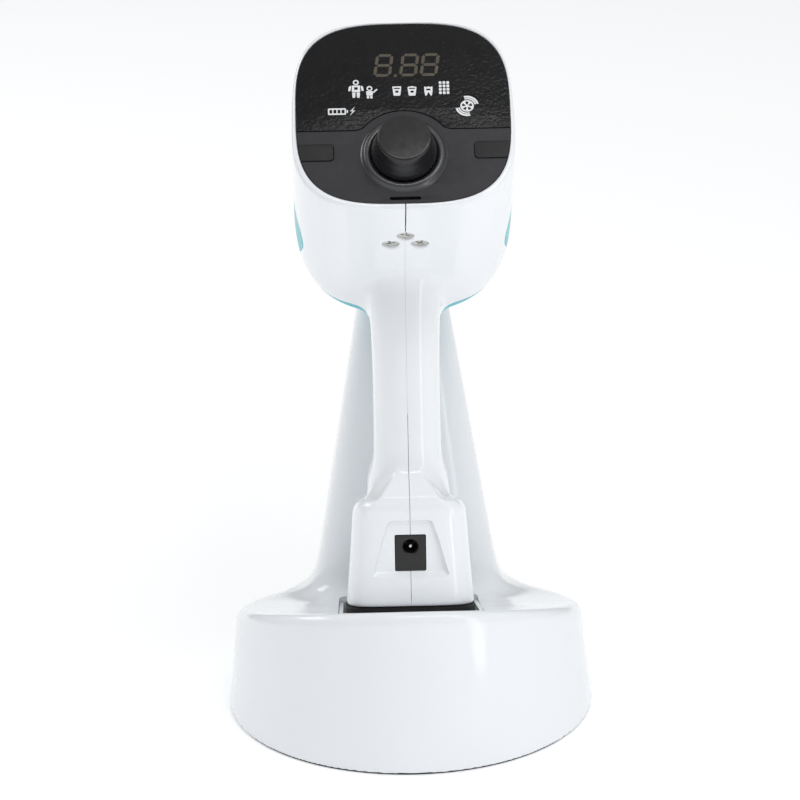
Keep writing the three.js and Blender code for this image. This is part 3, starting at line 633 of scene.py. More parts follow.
# ---------- stand ----------
POCKET_LIP = 0.6  # the liner ends this far below the drum's top
ABOVE_DRUM = 90.0
COVER_HALF = 13.6
COVER_LOW = 46.4
COVER_HIGH = 133.6
COVER_GAP = 0.3
COVER_SCREWS = (56, 124)
COVER_SCREW_LINE = [(0, -8), (1.4, -8), (1.4, -1.6), (2.6, -1.6), (2.6, -0.5), (1.6, 0.0), (0, 0.05)]
COVER_SINK = [(0, -12), (1.7, -12), (1.7, -1.9), (3.0, -1.9), (3.0, 6), (0, 6)]
MAT_LINE = [(0, 0), (64, 0), (64.4, 0.3), (65.4, 0.3), (65.8, 0), (68.9, 0), (68.9, 0.7), (0, 0.7)]
RECESS_HALF_WIDTH = 0.33  # of one slot of a screw's cross


def lip_roof(y):
    return base_top(y) - POCKET_LIP


def pocket_block(clear, depth, corner, roof=None):
    """A block over the pocket; its floor follows the drum's sloping top, its roof may too."""
    outline = rounded_box(
        -POCKET_HALF + clear, POCKET_HALF - clear, POCKET_NEAR + clear, POCKET_FAR - clear, corner
    )
    low = [(x, y, base_top(y) - depth) for x, y in outline]
    high = [(x, y, roof(y) if roof else ABOVE_DRUM) for x, y in outline]
    return loft("pocket_block", [low, high])


def block_along_y(name, line, near, far):
    """A straight block along Y from an outline in X and Z."""
    return loft(name, [[(x, y, z) for x, z in line] for y in (near, far)])


def screw(name, matrix, profile, turn, body, node, cross=1.9):
    """A machine screw with a cross recess, standing on a matrix whose Z points out of the head."""
    obj = turned(name, profile, 0.14, 48)
    top = max(h for _, h in profile)
    half = RECESS_HALF_WIDTH
    for k in range(2):
        a = math.radians(turn + 90 * k)
        c = math.cos(a)
        s = math.sin(a)
        rings = []
        for depth, reach in ((-1.15, 0.45 * cross), (-0.1, cross), (0.5, cross + 0.1)):
            ring = [(-reach, -half), (reach, -half), (reach, half), (-reach, half)]
            rings.append([(x * c - y * s, x * s + y * c, top + depth) for x, y in ring])
        combine(obj, loft("cross_tool", rings))
    place(obj, matrix)
    return show(obj, body, SCREW, [node], 28)


def pad_field(x, y, z):
    """A thin saddle between the column's top and the barrel."""
    over = barrel(x, y, z)
    return both(both(column(x, y, z) + 1.4, over - 2.3, 0.8), -(over - 0.45), 0.8)


def build_stand():
    shell = field_mesh("stand_shell_skin", stand_field, (-73, -73, -1), (73, 73, 165), 1.15)
    combine(shell, field_mesh("stand_inside", stand_inside, (-70, -70, -8), (70, 70, 150), 2.4))
    combine(shell, pocket_block(0, 24, 2.4))

    # cover in the back of the column: the same surface, cut free with a gap all round
    cover = field_mesh("column_cover_skin", stand_field, (-18, 50, 40), (18, 66, 140), 0.9)
    combine(cover, box_object("cover_inside", (-30, 30, 30), (30, 56.4, 150)))
    keep = rounded_box(-COVER_HALF, COVER_HALF, COVER_LOW, COVER_HIGH, 2.2)
    combine(cover, block_along_y("cover_keep", keep, 44, 90), "INTERSECT")
    wide = COVER_HALF + COVER_GAP
    gap = rounded_box(-wide, wide, COVER_LOW - COVER_GAP, COVER_HIGH + COVER_GAP, 2.4)
    combine(shell, block_along_y("cover_gap", gap, 44, 90))
    for i, z in enumerate(COVER_SCREWS):
        at = beam_axes(0, cover_face(z), z)
        node = f"cover_screw_{i + 1}"
        combine(cover, place(turned("screw_sink", COVER_SINK, 0.15, 48), at))
        screw(f"{node}_steel", at, COVER_SCREW_LINE, 35 + 40 * i, "stand", node)
    show(shell, "stand", WHITE, ["stand_shell"])
    show(cover, "stand", WHITE, ["column_back_cover"])

    liner = pocket_block(0.3, POCKET_DEPTH + 1.5, 2.2, lip_roof)
    combine(liner, pocket_block(1.8, POCKET_DEPTH, 1.6))
    show(liner, "stand", WHITE, ["pocket_liner"])
    pad = field_mesh("cradle_pad_rubber", pad_field, (-18, 28, 148), (18, 60, 160), 0.6)
    show(pad, "stand", RUBBER, ["cradle_pad"])
    mat = turned("anti_slip_mat_rubber", MAT_LINE, 0.15, 192)
    show(mat, "stand", RUBBER, ["anti_slip_mat"])


build_stand()


# ---------- handset housing ----------
# outline of the teal inlay seen from the side: distance along the beam, height
ACCENT_LINE = [
    (34, 149), (36, 176), (38, 207), (10, 206.5), (-2, 205.5), (-12, 203), (-17, 197.5), (-16.5, 192),
    (-12, 186), (-5, 182.5), (3, 180), (8, 176), (7.5, 170), (2, 164), (0, 160), (1, 149),
]
ACCENT_DEPTH = 1.5
ACCENT_GAP = 0.12
ACCENT_INNER = -7  # the inlay ends this far from the middle plane
UNDERSIDE_OUT = (0, -math.sin(UNDERSIDE_DROP), -math.cos(UNDERSIDE_DROP))
UNDERSIDE_UP = (0, -math.cos(UNDERSIDE_DROP), math.sin(UNDERSIDE_DROP))
# x, y and turn of each screw in the underside of the head
REAR_SCREWS = {
    "rear_screw_left": (-5.2, -38.4, 22),
    "rear_screw_right": (5.2, -38.4, 55),
    "rear_screw_top": (0, -43.3, 78),
}
REAR_SCREW_LINE = [(0, -11), (1.4, -11), (1.4, -2.4), (2.9, -0.95), (2.9, -0.5), (0, -0.42)]
REAR_SINK = [(0, -12), (1.8, -12), (1.8, -2.1), (3.05, -0.75), (3.15, 0.1), (3.6, 0.45), (3.6, 5), (0, 5)]
# opening for the panel, a seat with a softened lip: growth of the panel's outline, height
PANEL_SEAT = [(0.14, -2.9), (0.14, 0.0), (0.2, 0.18), (0.34, 0.34), (0.55, 0.46), (0.8, 0.5), (0.8, 4)]
PANEL_THROUGH = [(-1.6, -9), (-1.6, 1)]
BEAM_HOLE = [(0, 50), (31, 50), (31, 80), (0, 80)]
# recess around the power inlet: its floor, its outline there and the growth of each ring
RECESS_FLOOR = -46.2
RECESS_LOW = 71.2
RECESS_HIGH = 90.6
RECESS_LOW_HALF = 13.1
RECESS_HIGH_HALF = 7.0
RECESS_RINGS = [(1.9, 2.6, -60), (1.5, 1.9, -48.4), (0.3, 0.15, RECESS_FLOOR - 0.15), (0, 0, RECESS_FLOOR)]
TRIGGER_HALF = 6.0


def on_underside(x, y):
    """A point of the head's flat underside and the axes of a screw there."""
    edge = PANEL_CENTRE + (PANEL_SHIFT - PANEL_HALF_Y - RIM) * np.array(PANEL_UP)
    z = edge[2] - math.tan(UNDERSIDE_DROP) * (y - edge[1])
    return axes_matrix(X_AXIS, UNDERSIDE_UP, UNDERSIDE_OUT, (x, y, z))


def grown(line, clear):
    """A closed outline moved outwards along its corner bisectors; it runs anticlockwise."""
    out = []
    count = len(line)
    for i, point in enumerate(line):
        before = np.array(point) - np.array(line[i - 1])
        after = np.array(line[(i + 1) % count]) - np.array(point)
        before = before / np.linalg.norm(before)
        after = after / np.linalg.norm(after)
        n1 = np.array([before[1], -before[0]])
        n2 = np.array([after[1], -after[0]])
        bisector = (n1 + n2) / max(1 + n1 @ n2, 0.4)
        out.append(tuple(np.array(point) + clear * bisector))
    return out


def accent_block(clear):
    line = grown(rounded(ACCENT_LINE, 6, steps=5), clear)
    return loft("accent_block", [[(x, y, z) for y, z in line] for x in (-60, ACCENT_INNER + clear)])


def panel_block(name, rings, count):
    """A block standing on the panel, through rings of (growth of the panel's outline, height)."""
    outlines = []
    for grow, height in rings:
        half_x = PANEL_HALF_X + grow
        half_y = PANEL_HALF_Y + grow
        line = superellipse_outline(half_x, half_y, PANEL_POWER, count, (0, PANEL_SHIFT))
        outlines.append([(x, y, height) for x, y in line])
    return place(loft(name, outlines), PANEL_MATRIX)


def recess_block():
    rings = []
    for side, below, y in RECESS_RINGS:
        wide = RECESS_LOW_HALF + side
        slim = RECESS_HIGH_HALF + side
        low = RECESS_LOW - below
        high = RECESS_HIGH + side
        line = [(-wide, low), (wide, low), (slim, high), (-slim, high)]
        rings.append([(x, y, z) for x, z in rounded(line, 1.3)])
    return loft("recess_tool", rings)


def half_field(x, y, z):
    return both(housing_field(x, y, z), x - 1.5, 0.5)


def core_field(x, y, z):
    return housing_field(x, y, z) + ACCENT_DEPTH


def inside_field(x, y, z):
    return np.maximum(housing_field(x, y, z) + WALL, x - 2)


def keep_largest(obj):
    """Drops loose crumbs that a cut left behind."""
    work = bmesh.new()
    work.from_mesh(obj.data)
    work.verts.ensure_lookup_table()
    seen = set()
    parts = []
    for start in work.verts:
        if start.index in seen:
            continue
        seen.add(start.index)
        part = [start]
        for vert in part:  # the list grows while it is walked
            for edge in vert.link_edges:
                other = edge.other_vert(vert)
                if other.index not in seen:
                    seen.add(other.index)
                    part.append(other)
        parts.append(part)
    parts.sort(key=len)
    loose = [v for part in parts[:-1] if len(part) < 0.05 * len(parts[-1]) for v in part]
    bmesh.ops.delete(work, geom=loose, context="VERTS")
    work.to_mesh(obj.data)
    work.free()


def twin_of(obj, name):
    twin = obj.copy()
    twin.data = obj.data.copy()
    twin.name = name
    bpy.context.scene.collection.objects.link(twin)
    return twin


def mirrored(obj, name):
    return place(twin_of(obj, name), Matrix.Diagonal((-1, 1, 1, 1)))


def build_housing():
    """The left half of the casing and its inlay; the right half is their mirror image."""
    low = (-45, -66, 34)
    high = (2.5, 66, 272)
    half = field_mesh("left_housing_skin", half_field, low, high, 0.8)

    # inlaid accent: a skin between the surface and a core just below it
    core = field_mesh("accent_core", core_field, (-45, -30, 140), (10, 50, 215), 1.0)
    accent = twin_of(half, "accent_left_skin")
    combine(accent, accent_block(0), "INTERSECT")
    combine(accent, core, keep_tool=True)
    keep_largest(accent)
    seat = accent_block(ACCENT_GAP)
    combine(seat, core)
    combine(half, seat)

    combine(half, field_mesh("housing_inside", inside_field, low, high, 2.0))
    combine(half, panel_block("panel_tool", PANEL_SEAT, 200))
    combine(half, panel_block("through_tool", PANEL_THROUGH, 80))
    combine(half, place(turned("beam_tool", BEAM_HOLE, 0.01, 128), BEAM_MATRIX))
    combine(half, recess_block())
    inlet_hole = rounded_box(-5.75, 5.75, JACK_Z - 7.15, JACK_Z + 7.15, 0.6)
    combine(half, block_along_y("inlet_tool", inlet_hole, -60, -30))
    trigger_hole = rounded_box(-TRIGGER_HALF - 0.4, TRIGGER_HALF + 0.4, 134, 160, 2.2)
    combine(half, block_along_y("trigger_tool", trigger_hole, 5.2, 40))
    for x, y, _ in REAR_SCREWS.values():
        combine(half, place(turned("sink_tool", REAR_SINK, 0.12, 64), on_underside(x, y)))
    combine(half, box_object("seam_tool", (-SEAM, -90, 0), (30, 90, 300)))
    combine(half, box_object("low_seam_tool", (-LOW_SEAM, -90, 60), (30, 90, 127)))
    combine(half, box_object("open_seam_tool", (-OPEN_SEAM, -90, 188), (30, -44.5, 216)))
    keep_largest(half)
    return half, accent


left_housing, left_accent = build_housing()
right_housing = mirrored(left_housing, "right_housing_skin")
show(right_housing, "handset", WHITE, ["right_housing"])
show(left_housing, "handset", WHITE, ["left_housing"])
right_accent = mirrored(left_accent, "accent_right_skin")
show(right_accent, "handset", TEAL, ["accent_right"])
show(left_accent, "handset", TEAL, ["accent_left"])
for node, (x, y, turn) in REAR_SCREWS.items():
    screw(f"{node}_steel", on_underside(x, y), REAR_SCREW_LINE, turn, "handset", node, cross=1.75)


# ---------- control panel ----------
WINDOW_EDGE = -7.0
ARC_RADIUS = 18.2
ARC_START = 141.5  # degrees
ARC_SPAN = 103
KEY_INNER = 24.8
KEY_LOW = -19.2
KEY_HIGH = -12.6
KEY_STEM = 30.0  # distance of a key's stem from the middle
PANEL_GAP = 0.13
PANEL_EDGE = 0.1  # gap between the panel and its seat
COLLAR_LINE = [
    (11.75, -2.4), (11.95, -2.4), (11.95, 0.03), (15.6, 0.03),
    (14.9, 0.5), (13.9, 1.75), (12.7, 1.95), (11.75, 1.2),
]
KNOB_LINE = [
    (0, 0.75), (11.55, 0.75), (11.55, 3.2), (10.9, 5.2), (10.1, 8.2), (9.4, KNOB_HEIGHT), (0, KNOB_HEIGHT),
]
KNOB_BORE = [(0, 0), (3.3, 0), (3.3, 7), (0, 7)]


def panel_edge(y):
    """Half width of the panel at a height of its own plane."""
    share = abs(y - PANEL_SHIFT) / (PANEL_HALF_Y - PANEL_EDGE)
    return (PANEL_HALF_X - PANEL_EDGE) * (1 - share**PANEL_POWER) ** (1 / PANEL_POWER)


def divider(clear):
    """The line between fascia and window from left to right, moved up by clear."""
    arc = []
    radius = ARC_RADIUS + clear
    for i in range(25):
        t = math.radians(ARC_START - ARC_SPAN * i / 24)
        arc.append((radius * math.cos(t), KNOB_Y + radius * math.sin(t)))
    level = WINDOW_EDGE + clear
    ends = [(-panel_edge(level), level), (-17.6, level), (-15.6, level + 0.35)]
    return ends + arc + [(-x, y) for x, y in reversed(ends)]


def lower_rim(level):
    """The panel's outline below a level, from right to left."""
    points = []
    half_x = PANEL_HALF_X - PANEL_EDGE
    half_y = PANEL_HALF_Y - PANEL_EDGE
    for i in range(400):
        x, y = superellipse_point(half_x, half_y, PANEL_POWER, -math.pi * i / 399, (0, PANEL_SHIFT))
        if y < level and (not points or math.dist(points[-1], (x, y)) > 0.7):
            points.append((x, y))
    return points


def key_end(clear):
    """The inner end of the right-hand key, from its upper to its lower edge."""
    high = KEY_HIGH + clear
    low = KEY_LOW - clear
    inner = KEY_INNER - clear
    line = [(panel_edge(high), high), (inner, high), (inner, low), (panel_edge(low), low)]
    return rounded(line, 1.7 + clear, closed=False, steps=6)


def fascia_outline():
    right = [p for p in lower_rim(WINDOW_EDGE) if p[0] > 0 and p[1] > KEY_HIGH + PANEL_GAP]
    below = lower_rim(KEY_LOW - PANEL_GAP)
    notch = key_end(PANEL_GAP)
    mirror = [(-x, y) for x, y in reversed(right + notch)]
    return divider(-PANEL_GAP) + right + notch + below + mirror


def window_outline():
    """The panel above the divider: its lower outline turned over, then the divider."""
    top = [(x, 2 * PANEL_SHIFT - y) for x, y in lower_rim(2 * PANEL_SHIFT - WINDOW_EDGE - PANEL_GAP)]
    above = [p for p in top if p[1] > WINDOW_EDGE + PANEL_GAP]
    return list(reversed(divider(PANEL_GAP))) + list(reversed(above))


def key_outline():
    rim = [p for p in lower_rim(KEY_HIGH) if p[0] > 0 and p[1] > KEY_LOW]
    return key_end(0) + list(reversed(rim))


def panel_piece(name, outlines, low, high, edge, material, nodes):
    """A plate of the handset between two heights above the panel's plane."""
    piece = place(plate(name, outlines, low, high, edge), PANEL_MATRIX)
    return show(piece, "handset", material, nodes)


slit = rounded_box(-5.35, 5.35, -35.45, -34.25, 0.4)
fascia_lines = [fascia_outline(), circle(0, KNOB_Y, 12, 96), slit]
panel_piece(
    "fascia_panel", fascia_lines, -PANEL_THICKNESS, 0, 0.16, FASCIA, ["control_panel_fascia"]
)
panel_piece(
    "display_window_film", [window_outline()], -PANEL_THICKNESS, -0.02, 0.14, WINDOW,
    ["display_window"],
)
for side, node in ((1, "right_key"), (-1, "left_key")):
    outline = [(side * x, y) for x, y in key_outline()]
    key = plate(f"{node}_cap", [outline], -2.2, 0.3, 0.22)
    stem_line = rounded_box(side * KEY_STEM - 1.5, side * KEY_STEM + 1.5, -17.4, -14.4, 0.3)
    combine(key, plate("stem", [stem_line], -3.6, -2.3, 0.1), "UNION")
    show(place(key, PANEL_MATRIX), node, KEY, [node])

KNOB_MATRIX = PANEL_MATRIX @ Matrix.Translation((0, KNOB_Y, 0))
collar = turned("knob_collar_ring", COLLAR_LINE, 1.0, 160)
show(place(collar, KNOB_MATRIX), "handset", COLLAR, ["knob_collar"])
knob = turned("jog_knob_cap", KNOB_LINE, 0.9, 160)
combine(knob, turned("bore_tool", KNOB_BORE, 0.05, 48))
show(place(knob, KNOB_MATRIX), "jog_knob", KNOB, ["jog_knob"])


# ---------- display prints ----------
PRINT_LOW = -0.02
PRINT_HIGH = 0.035
SLANT = math.tan(math.radians(8))
DIGIT_LOW = 15.7
DIGIT_WIDTH = 5.2
DIGIT_HEIGHT = 8.4
BAR_WIDTH = 1.15
BAR_GAP = 0.2


def segment(x0, y0, x1, y1, width):
    """A six-sided bar of a digit between two points."""
    along = np.array([x1 - x0, y1 - y0])
    length = np.linalg.norm(along)
    along = along / length
    across = np.array([-along[1], along[0]])
    h = width / 2
    corners = [(0, 0), (h, h), (length - h, h), (length, 0), (length - h, -h), (h, -h)]
    return [tuple(np.array([x0, y0]) + a * along + b * across) for a, b in corners]


def digit(x, y, width, height):
    """The seven slanted segments of an eight whose lower left corner is at x, y."""
    half = height / 2
    g = BAR_GAP
    bars = [(g, level, width - g, level) for level in (0, half, height)]
    for left in (0, width):
        bars += [(left, g, left, half - g), (left, half + g, left, height - g)]
    slanted = []
    for bar in bars:
        slanted.append([(x + px + SLANT * py, y + py) for px, py in segment(*bar, BAR_WIDTH)])
    return slanted


def sector(x, y, inner, outer, start, end, count=14):
    """Part of a ring between two angles in degrees."""
    angles = [math.radians(start + (end - start) * i / (count - 1)) for i in range(count)]
    line = [(x + outer * math.cos(a), y + outer * math.sin(a)) for a in angles]
    line += [(x + inner * math.cos(a), y + inner * math.sin(a)) for a in reversed(angles)]
    return line


def moved(outline, x, y, scale=1.0):
    return [(x + scale * px, y + scale * py) for px, py in outline]


def flipped(outline):
    return [(-px, py) for px, py in outline]


def person(x, y, scale):
    """A standing figure: ring head, jacket with sleeves and two legs."""
    jacket = rounded([(-1.3, 1.5), (1.3, 1.5), (1.3, -0.9), (-1.3, -0.9)], 0.3)
    badge = rounded_box(-0.55, 0.55, -0.1, 0.9, 0.15)
    sleeve = rounded([(1.45, 1.5), (2.2, 1.1), (2.45, -0.5), (1.75, -0.6)], 0.3)
    leg = rounded([(0.15, -1.05), (1.25, -1.05), (1.1, -3.0), (0.3, -3.0)], 0.25)
    parts = [circle(0, 2.6, 0.95, 20), circle(0, 2.6, 0.5, 16), jacket, badge, sleeve, leg]
    parts += [flipped(sleeve), flipped(leg)]
    return [moved(part, x, y, scale) for part in parts]


def child(x, y, scale):
    """A small figure with one arm raised."""
    body = rounded([(-1.15, 0.5), (1.15, 0.5), (1.0, -1.2), (-1.0, -1.2)], 0.3)
    arm = rounded([(1.2, 0.3), (2.3, 1.4), (2.6, 1.0), (1.3, -0.3)], 0.15)
    leg = rounded([(0.1, -1.3), (0.95, -1.3), (0.9, -2.3), (0.2, -2.3)], 0.2)
    parts = [circle(0, 1.5, 0.95, 20), circle(0, 1.45, 0.5, 16), body, arm, leg, flipped(leg)]
    return [moved(part, x, y, scale) for part in parts]


def molar(x, y):
    """A tooth with two roots and a hollow crown."""
    line = [
        (-1.5, 1.9), (-0.6, 1.5), (0, 1.9), (0.6, 1.5), (1.5, 1.9), (1.45, -0.2),
        (1.2, -1.9), (0.75, -2.0), (0, -0.4), (-0.75, -2.0), (-1.2, -1.9), (-1.45, -0.2),
    ]
    hole = [(-0.8, 0.9), (0.8, 0.9), (0.7, 0.2), (-0.7, 0.2)]
    return [moved(rounded(line, 0.35), x, y), moved(rounded(hole, 0.2), x, y)]


def front_tooth(x, y, point):
    """A tooth with one root; its biting edge is flat at point 0 and raised in the middle at 1."""
    top = 1.9 - 0.25 * point
    line = [
        (-1.6, top), (0, 1.9 + 0.1 * point), (1.6, top),
        (1.25, -1.7), (0.9, -2.0), (-0.9, -2.0), (-1.25, -1.7),
    ]
    crown = [(-1.15, 1.3), (1.15, 1.3), (1.1, 0.8), (-1.1, 0.8)]
    root = [(-0.6, 0.15), (0.6, 0.15), (0.55, -0.75), (-0.55, -0.75)]
    return [moved(rounded(part, 0.25), x, y) for part in (line, crown, root)]


def row_of_teeth(x, y):
    """A block of small rounded fields, the sign for several teeth at once."""
    parts = []
    for across in (-1.35, 0, 1.35):
        for up in (-2.1, -0.7, 0.7, 2.1):
            parts.append(moved(rounded_box(-0.5, 0.5, -0.55, 0.55, 0.35), x + across, y + up))
    return parts


def battery(x, y):
    """A battery with four cells and a bolt beside it."""
    parts = [rounded_box(-3.8, 2.6, -1.35, 1.35, 0.5), rounded_box(2.8, 3.3, -0.6, 0.6, 0.15)]
    for i in range(4):
        low = -3.3 + 1.45 * i
        parts.append(rounded_box(low, low + 1.05, -0.75, 0.75, 0.15))
    bolt = [(0.9, 1.9), (-0.9, -0.1), (0.1, 0.0), (-1.0, -1.9), (1.0, 0.25), (0.0, 0.2)]
    return [moved(part, x, y) for part in parts] + [moved(bolt, x + 4.9, y + 0.1)]


def emission(x, y):
    """A round emission sign: a wheel with five open sectors and waves on two sides."""
    parts = [circle(x, y, 2.4, 36)]
    for k in range(5):
        parts.append(sector(x, y, 0.6, 1.85, 70 + 72 * k, 110 + 72 * k, 8))
    for inner, outer in ((2.75, 3.3), (3.5, 4.2)):
        parts.append(sector(x, y, inner, outer, 12, 105))
        parts.append(sector(x, y, inner, outer, 192, 285))
    return parts


digits = []
for left in (-9.6, -0.4, 6.9):
    digits += digit(left, DIGIT_LOW, DIGIT_WIDTH, DIGIT_HEIGHT)
digits.append(circle(-2.3, 15.5, 0.62, 20))
panel_piece("digit_segments_1", digits, PRINT_LOW, PRINT_HIGH, 0, SEGMENT, ())

icons = person(-16.4, 10.0, 1.14) + child(-11.6, 8.7, 1.1) + front_tooth(-1.9, 9.1, 0)
icons += front_tooth(3.5, 9.0, 1) + molar(9.3, 8.9) + row_of_teeth(14.9, 10.1)
icons += battery(-22.7, 1.0) + emission(22.8, 2.3)
panel_piece("panel_icons", icons, PRINT_LOW, PRINT_HIGH, 0, PRINT, ())


# ---------- power inlet ----------
INLET_MATRIX = axes_matrix(X_AXIS, (0, 0, 1), (0, -1, 0), (0, RECESS_FLOOR - 0.2, JACK_Z))
JACK_MATRIX = Matrix.Translation((0, 2.4, 0))
JACK_BORE = [(0, -8.2), (2.7, -8.2), (2.7, -0.5), (3.1, -0.1), (3.1, 3), (0, 3)]
PIN_LINE = [(0, -8.0), (1.3, -8.0), (1.3, -7.4), (0.85, -7.2), (0.85, -1.4), (0.5, -0.7), (0, -0.6)]
inlet = plate("dc_inlet_socket", [rounded_box(-5.5, 5.5, -6.9, 6.9, 0.5)], -9.6, 0.0, 0.2)
combine(inlet, place(turned("socket_tool", JACK_BORE, 0.12, 64), JACK_MATRIX))
show(place(inlet, INLET_MATRIX), "handset", INLET, ["dc_inlet"])
pin = place(turned("dc_inlet_contact", PIN_LINE, 0.15, 40), INLET_MATRIX @ JACK_MATRIX)
show(pin, "handset", STEEL, ["dc_inlet_pin"])


# ---------- foot boot ----------
BOOT_HALF = 24.2
# rings from the floor up: inset, height above the floor; then inset, depth below the top
BOOT_LOW_RINGS = [(1.2, 0), (0.3, 0.3), (0, 1.2)]
BOOT_HIGH_RINGS = [(0, 4.2), (0.5, 3.9), (0.5, 3.3), (0, 3.0), (0, 0.5), (0.5, 0)]


def boot_ring(inset, height_at, shift):
    deep = (FOOT_FAR - FOOT_NEAR) / 2 - inset
    line = superellipse_outline(BOOT_HALF - inset, deep, 5, 160, (0, (FOOT_NEAR + FOOT_FAR) / 2))
    return [(x, y, height_at(y) + shift) for x, y in line]


def boot_top(y):
    return FOOT_LOW + FOOT_SLOPE * y - 0.3


def boot_floor(y):
    return base_top(y) - POCKET_DEPTH + 0.3


boot_rings = [boot_ring(inset, boot_floor, rise) for inset, rise in BOOT_LOW_RINGS]
boot_rings += [boot_ring(inset, boot_top, -drop) for inset, drop in BOOT_HIGH_RINGS]
show(loft("foot_boot_rubber", boot_rings), "handset", RUBBER, ["foot_boot"])


# ---------- trigger ----------
TRIGGER_MATRIX = axes_matrix((0, 1, 0), (0, 0, 1), X_AXIS, (0, 0, 0))
TRIGGER_LINE = [
    (5.8, 134.4), (12.5, 134.4), (14.4, 138), (17.2, 143), (18.4, 148),
    (20.6, 153.5), (21, 157.3), (19.6, 159.6), (5.8, 159.6),
]
SPRING_SEAT = [(0, 0), (2.8, 0), (2.8, 6), (0, 6)]
RIB_LINE = [(0, -8), (0.45, -8), (0.45, 8), (0, 8)]
RIBS = (141.5, 144.5, 147.5, 150.5)
trigger_line = rounded(TRIGGER_LINE, 1.6)
trigger = plate("exposure_trigger_cap", [trigger_line], -TRIGGER_HALF, TRIGGER_HALF, 1.1)
place(trigger, TRIGGER_MATRIX)
seat_at = beam_axes(0, 4, SPRING_Z)
combine(trigger, place(turned("spring_seat", SPRING_SEAT, 0.1, 48), seat_at))
for z in RIBS:
    front = 14.4 + 0.42 * (z - 138) + 0.25
    rib_at = axes_matrix((0, 1, 0), (0, 0, 1), X_AXIS, (0, front, z))
    combine(trigger, place(turned("rib_tool", RIB_LINE, 0.05, 20), rib_at))
show(trigger, "trigger", KNOB, ["exposure_trigger"])

TURNS = 7.5
STEPS = 26  # rings of the wire in one turn
COIL = 2.03
WIRE = 0.33
WIRE_SIDES = 10
SPRING_START = 0.55
SPRING_LENGTH = 8.7
spring_rings = []
for i in range(int(TURNS * STEPS) + 1):
    t = 2 * math.pi * i / STEPS
    y = SPRING_START + SPRING_LENGTH * i / (TURNS * STEPS)
    out = np.array([math.cos(t), 0, math.sin(t)])
    ring = []
    for k in range(WIRE_SIDES):
        a = 2 * math.pi * k / WIRE_SIDES
        point = out * (COIL + WIRE * math.cos(a)) + np.array([0, y + WIRE * math.sin(a), SPRING_Z])
        ring.append(tuple(point))
    spring_rings.append(ring)
spring = loft("trigger_spring_coil", spring_rings)
show(spring, "handset", STEEL, ["trigger_spring"])
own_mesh(spring)


# ---------- beam cone ----------
CONE_TIP = CONE_END + 0.3
# node: profile of (radius, distance along the beam), rounding, material, slot
CONE_PARTS = {
    "cone_mount_ring": (
        [(28.6, 59), (30.6, 59), (30.6, 62.3), (37, 62.3), (37, 65), (35.2, 69.9), (28.6, 69.9)],
        0.7, WHITE, "white_gloss",
    ),
    "beam_cone": (
        [
            (29, 70.3), (33, 70.3), (33, 74), (32, 76), (31.7, 90), (31.5, 90.6), (31.5, 91.6),
            (31.6, 92.2), (30.6, CONE_END), (27.8, CONE_END),
        ],
        0.5, CONE, "cone_grey",
    ),
    "cone_lining": (
        [(27.7, 70.3), (28.7, 70.3), (27.4, CONE_END), (26.5, CONE_END)],
        0.2, LEAD, "lead",
    ),
    "cone_tip_ring": (
        [(26.6, CONE_TIP), (30.4, CONE_TIP), (30.4, 180), (29.2, 181.5), (27.2, 181.5), (26.6, 180.9)],
        0.8, RUBBER, "black_rubber",
    ),
    "beam_window": (
        [(0, 60.5), (28.2, 60.5), (28.2, 62), (26.5, 62), (26.1, 61.6), (0, 61.6)],
        0.2, DARK, "dark_plastic",
    ),
}
for node, (profile, radius, material, slot_name) in CONE_PARTS.items():
    part = place(turned(f"{node}_turned", profile, radius, 144), BEAM_MATRIX)
    show(part, "handset", material, [node])


# ---------- staging ----------
WORLD = (0.27, 0.44, 2.2)  # strength at -X and at +X, then the gain overhead
FLOOR_HALF = 9
# name, place, target, size and power of each light
LIGHTS = [
    ("strip", (0.129, -0.166, 0.255), (0, 0, 0.255), (0.026, 0.5), 0.09),
    ("front", (0.25, -0.75, 1.55), (0, 0, 0.15), (1.3, 0.25), 5.6),
    ("back", (-1.15, 0.5, 1.1), (0, 0, 0.1), (1.2, 0.4), 5.0),
]


def studio_world(left, right, above):
    """A plain white studio all round, brighter towards +X and overhead."""
    world = bpy.data.worlds.new("studio")
    world.use_nodes = True
    nodes = world.node_tree.nodes
    links = world.node_tree.links
    direction = nodes.new("ShaderNodeTexCoord")
    parts = nodes.new("ShaderNodeSeparateXYZ")
    links.new(direction.outputs["Generated"], parts.inputs["Vector"])
    spans = []
    for axis, start, low, high in (("X", -1, left, right), ("Z", 0, 1, above)):
        span = nodes.new("ShaderNodeMapRange")
        set_inputs(span, {"From Min": start, "To Min": low, "To Max": high})
        links.new(parts.outputs[axis], span.inputs["Value"])
        spans.append(span)
    strength = nodes.new("ShaderNodeMath")
    strength.operation = "MULTIPLY"
    for socket, span in zip(strength.inputs, spans):
        links.new(span.outputs["Result"], socket)
    links.new(strength.outputs["Value"], nodes["Background"].inputs["Strength"])
    set_inputs(nodes["Background"], {"Color": (1, 1, 1, 1)})
    bpy.context.scene.world = world


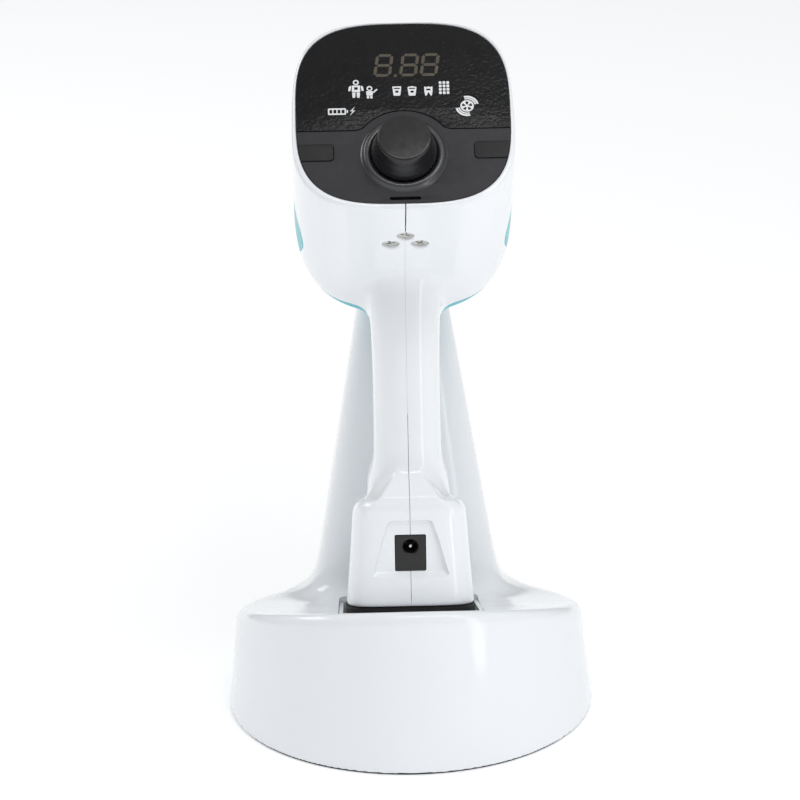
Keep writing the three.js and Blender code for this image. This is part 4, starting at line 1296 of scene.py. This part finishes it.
def soft_light(name, place_at, target, size, power):
    data = bpy.data.lights.new(name, "AREA")
    data.shape = "RECTANGLE"
    data.size = size[0]
    data.size_y = size[1]
    data.energy = power
    lamp = linked(name, data)
    lamp.location = place_at
    direction = Vector(target) - Vector(place_at)
    lamp.rotation_euler = direction.to_track_quat("-Z", "Y").to_euler()


floor_mesh = bpy.data.meshes.new("floor")
floor_corners = [(FLOOR_HALF * x, FLOOR_HALF * y, 0) for x, y in ((-1, -1), (1, -1), (1, 1), (-1, 1))]
floor_mesh.from_pydata(floor_corners, [], [(0, 1, 2, 3)])
floor = linked("floor", floor_mesh)
floor_look = bpy.data.materials.new("floor_white")
floor_look.use_nodes = True
set_inputs(
    floor_look.node_tree.nodes["Principled BSDF"],
    {
        "Base Color": (0.92, 0.93, 0.94, 1),
        "Roughness": 0.9,
        "Emission Color": (1, 1, 1, 1),
        "Emission Strength": 0.24,
    },
)
floor_mesh.materials.append(floor_look)
studio_world(*WORLD)
for light in LIGHTS:
    soft_light(*light)

# ---------- camera ----------
CAMERA_DISTANCE = 1.1
CAMERA_HEIGHT = 0.49
CAMERA_AZIMUTH = math.radians(-1.0)
CAMERA_PITCH = math.radians(18.5)
CAMERA_YAW = math.radians(-0.885)
CAMERA_ROLL = math.radians(0.95)
CAMERA_LENS = 139.0
CAMERA_SENSOR = 36.0
camera_data = bpy.data.cameras.new("camera")
camera_data.lens = CAMERA_LENS
camera_data.sensor_width = CAMERA_SENSOR
camera = linked("camera", camera_data)
camera.location = (
    CAMERA_DISTANCE * math.sin(CAMERA_AZIMUTH),
    -CAMERA_DISTANCE * math.cos(CAMERA_AZIMUTH),
    CAMERA_HEIGHT,
)
turn = Matrix.Rotation(CAMERA_YAW, 4, "Z") @ Matrix.Rotation(math.pi / 2 - CAMERA_PITCH, 4, "X")
camera.rotation_euler = (turn @ Matrix.Rotation(-CAMERA_ROLL, 4, "Z")).to_euler()
bpy.context.scene.camera = camera
bpy.context.scene.view_settings.view_transform = "Standard"
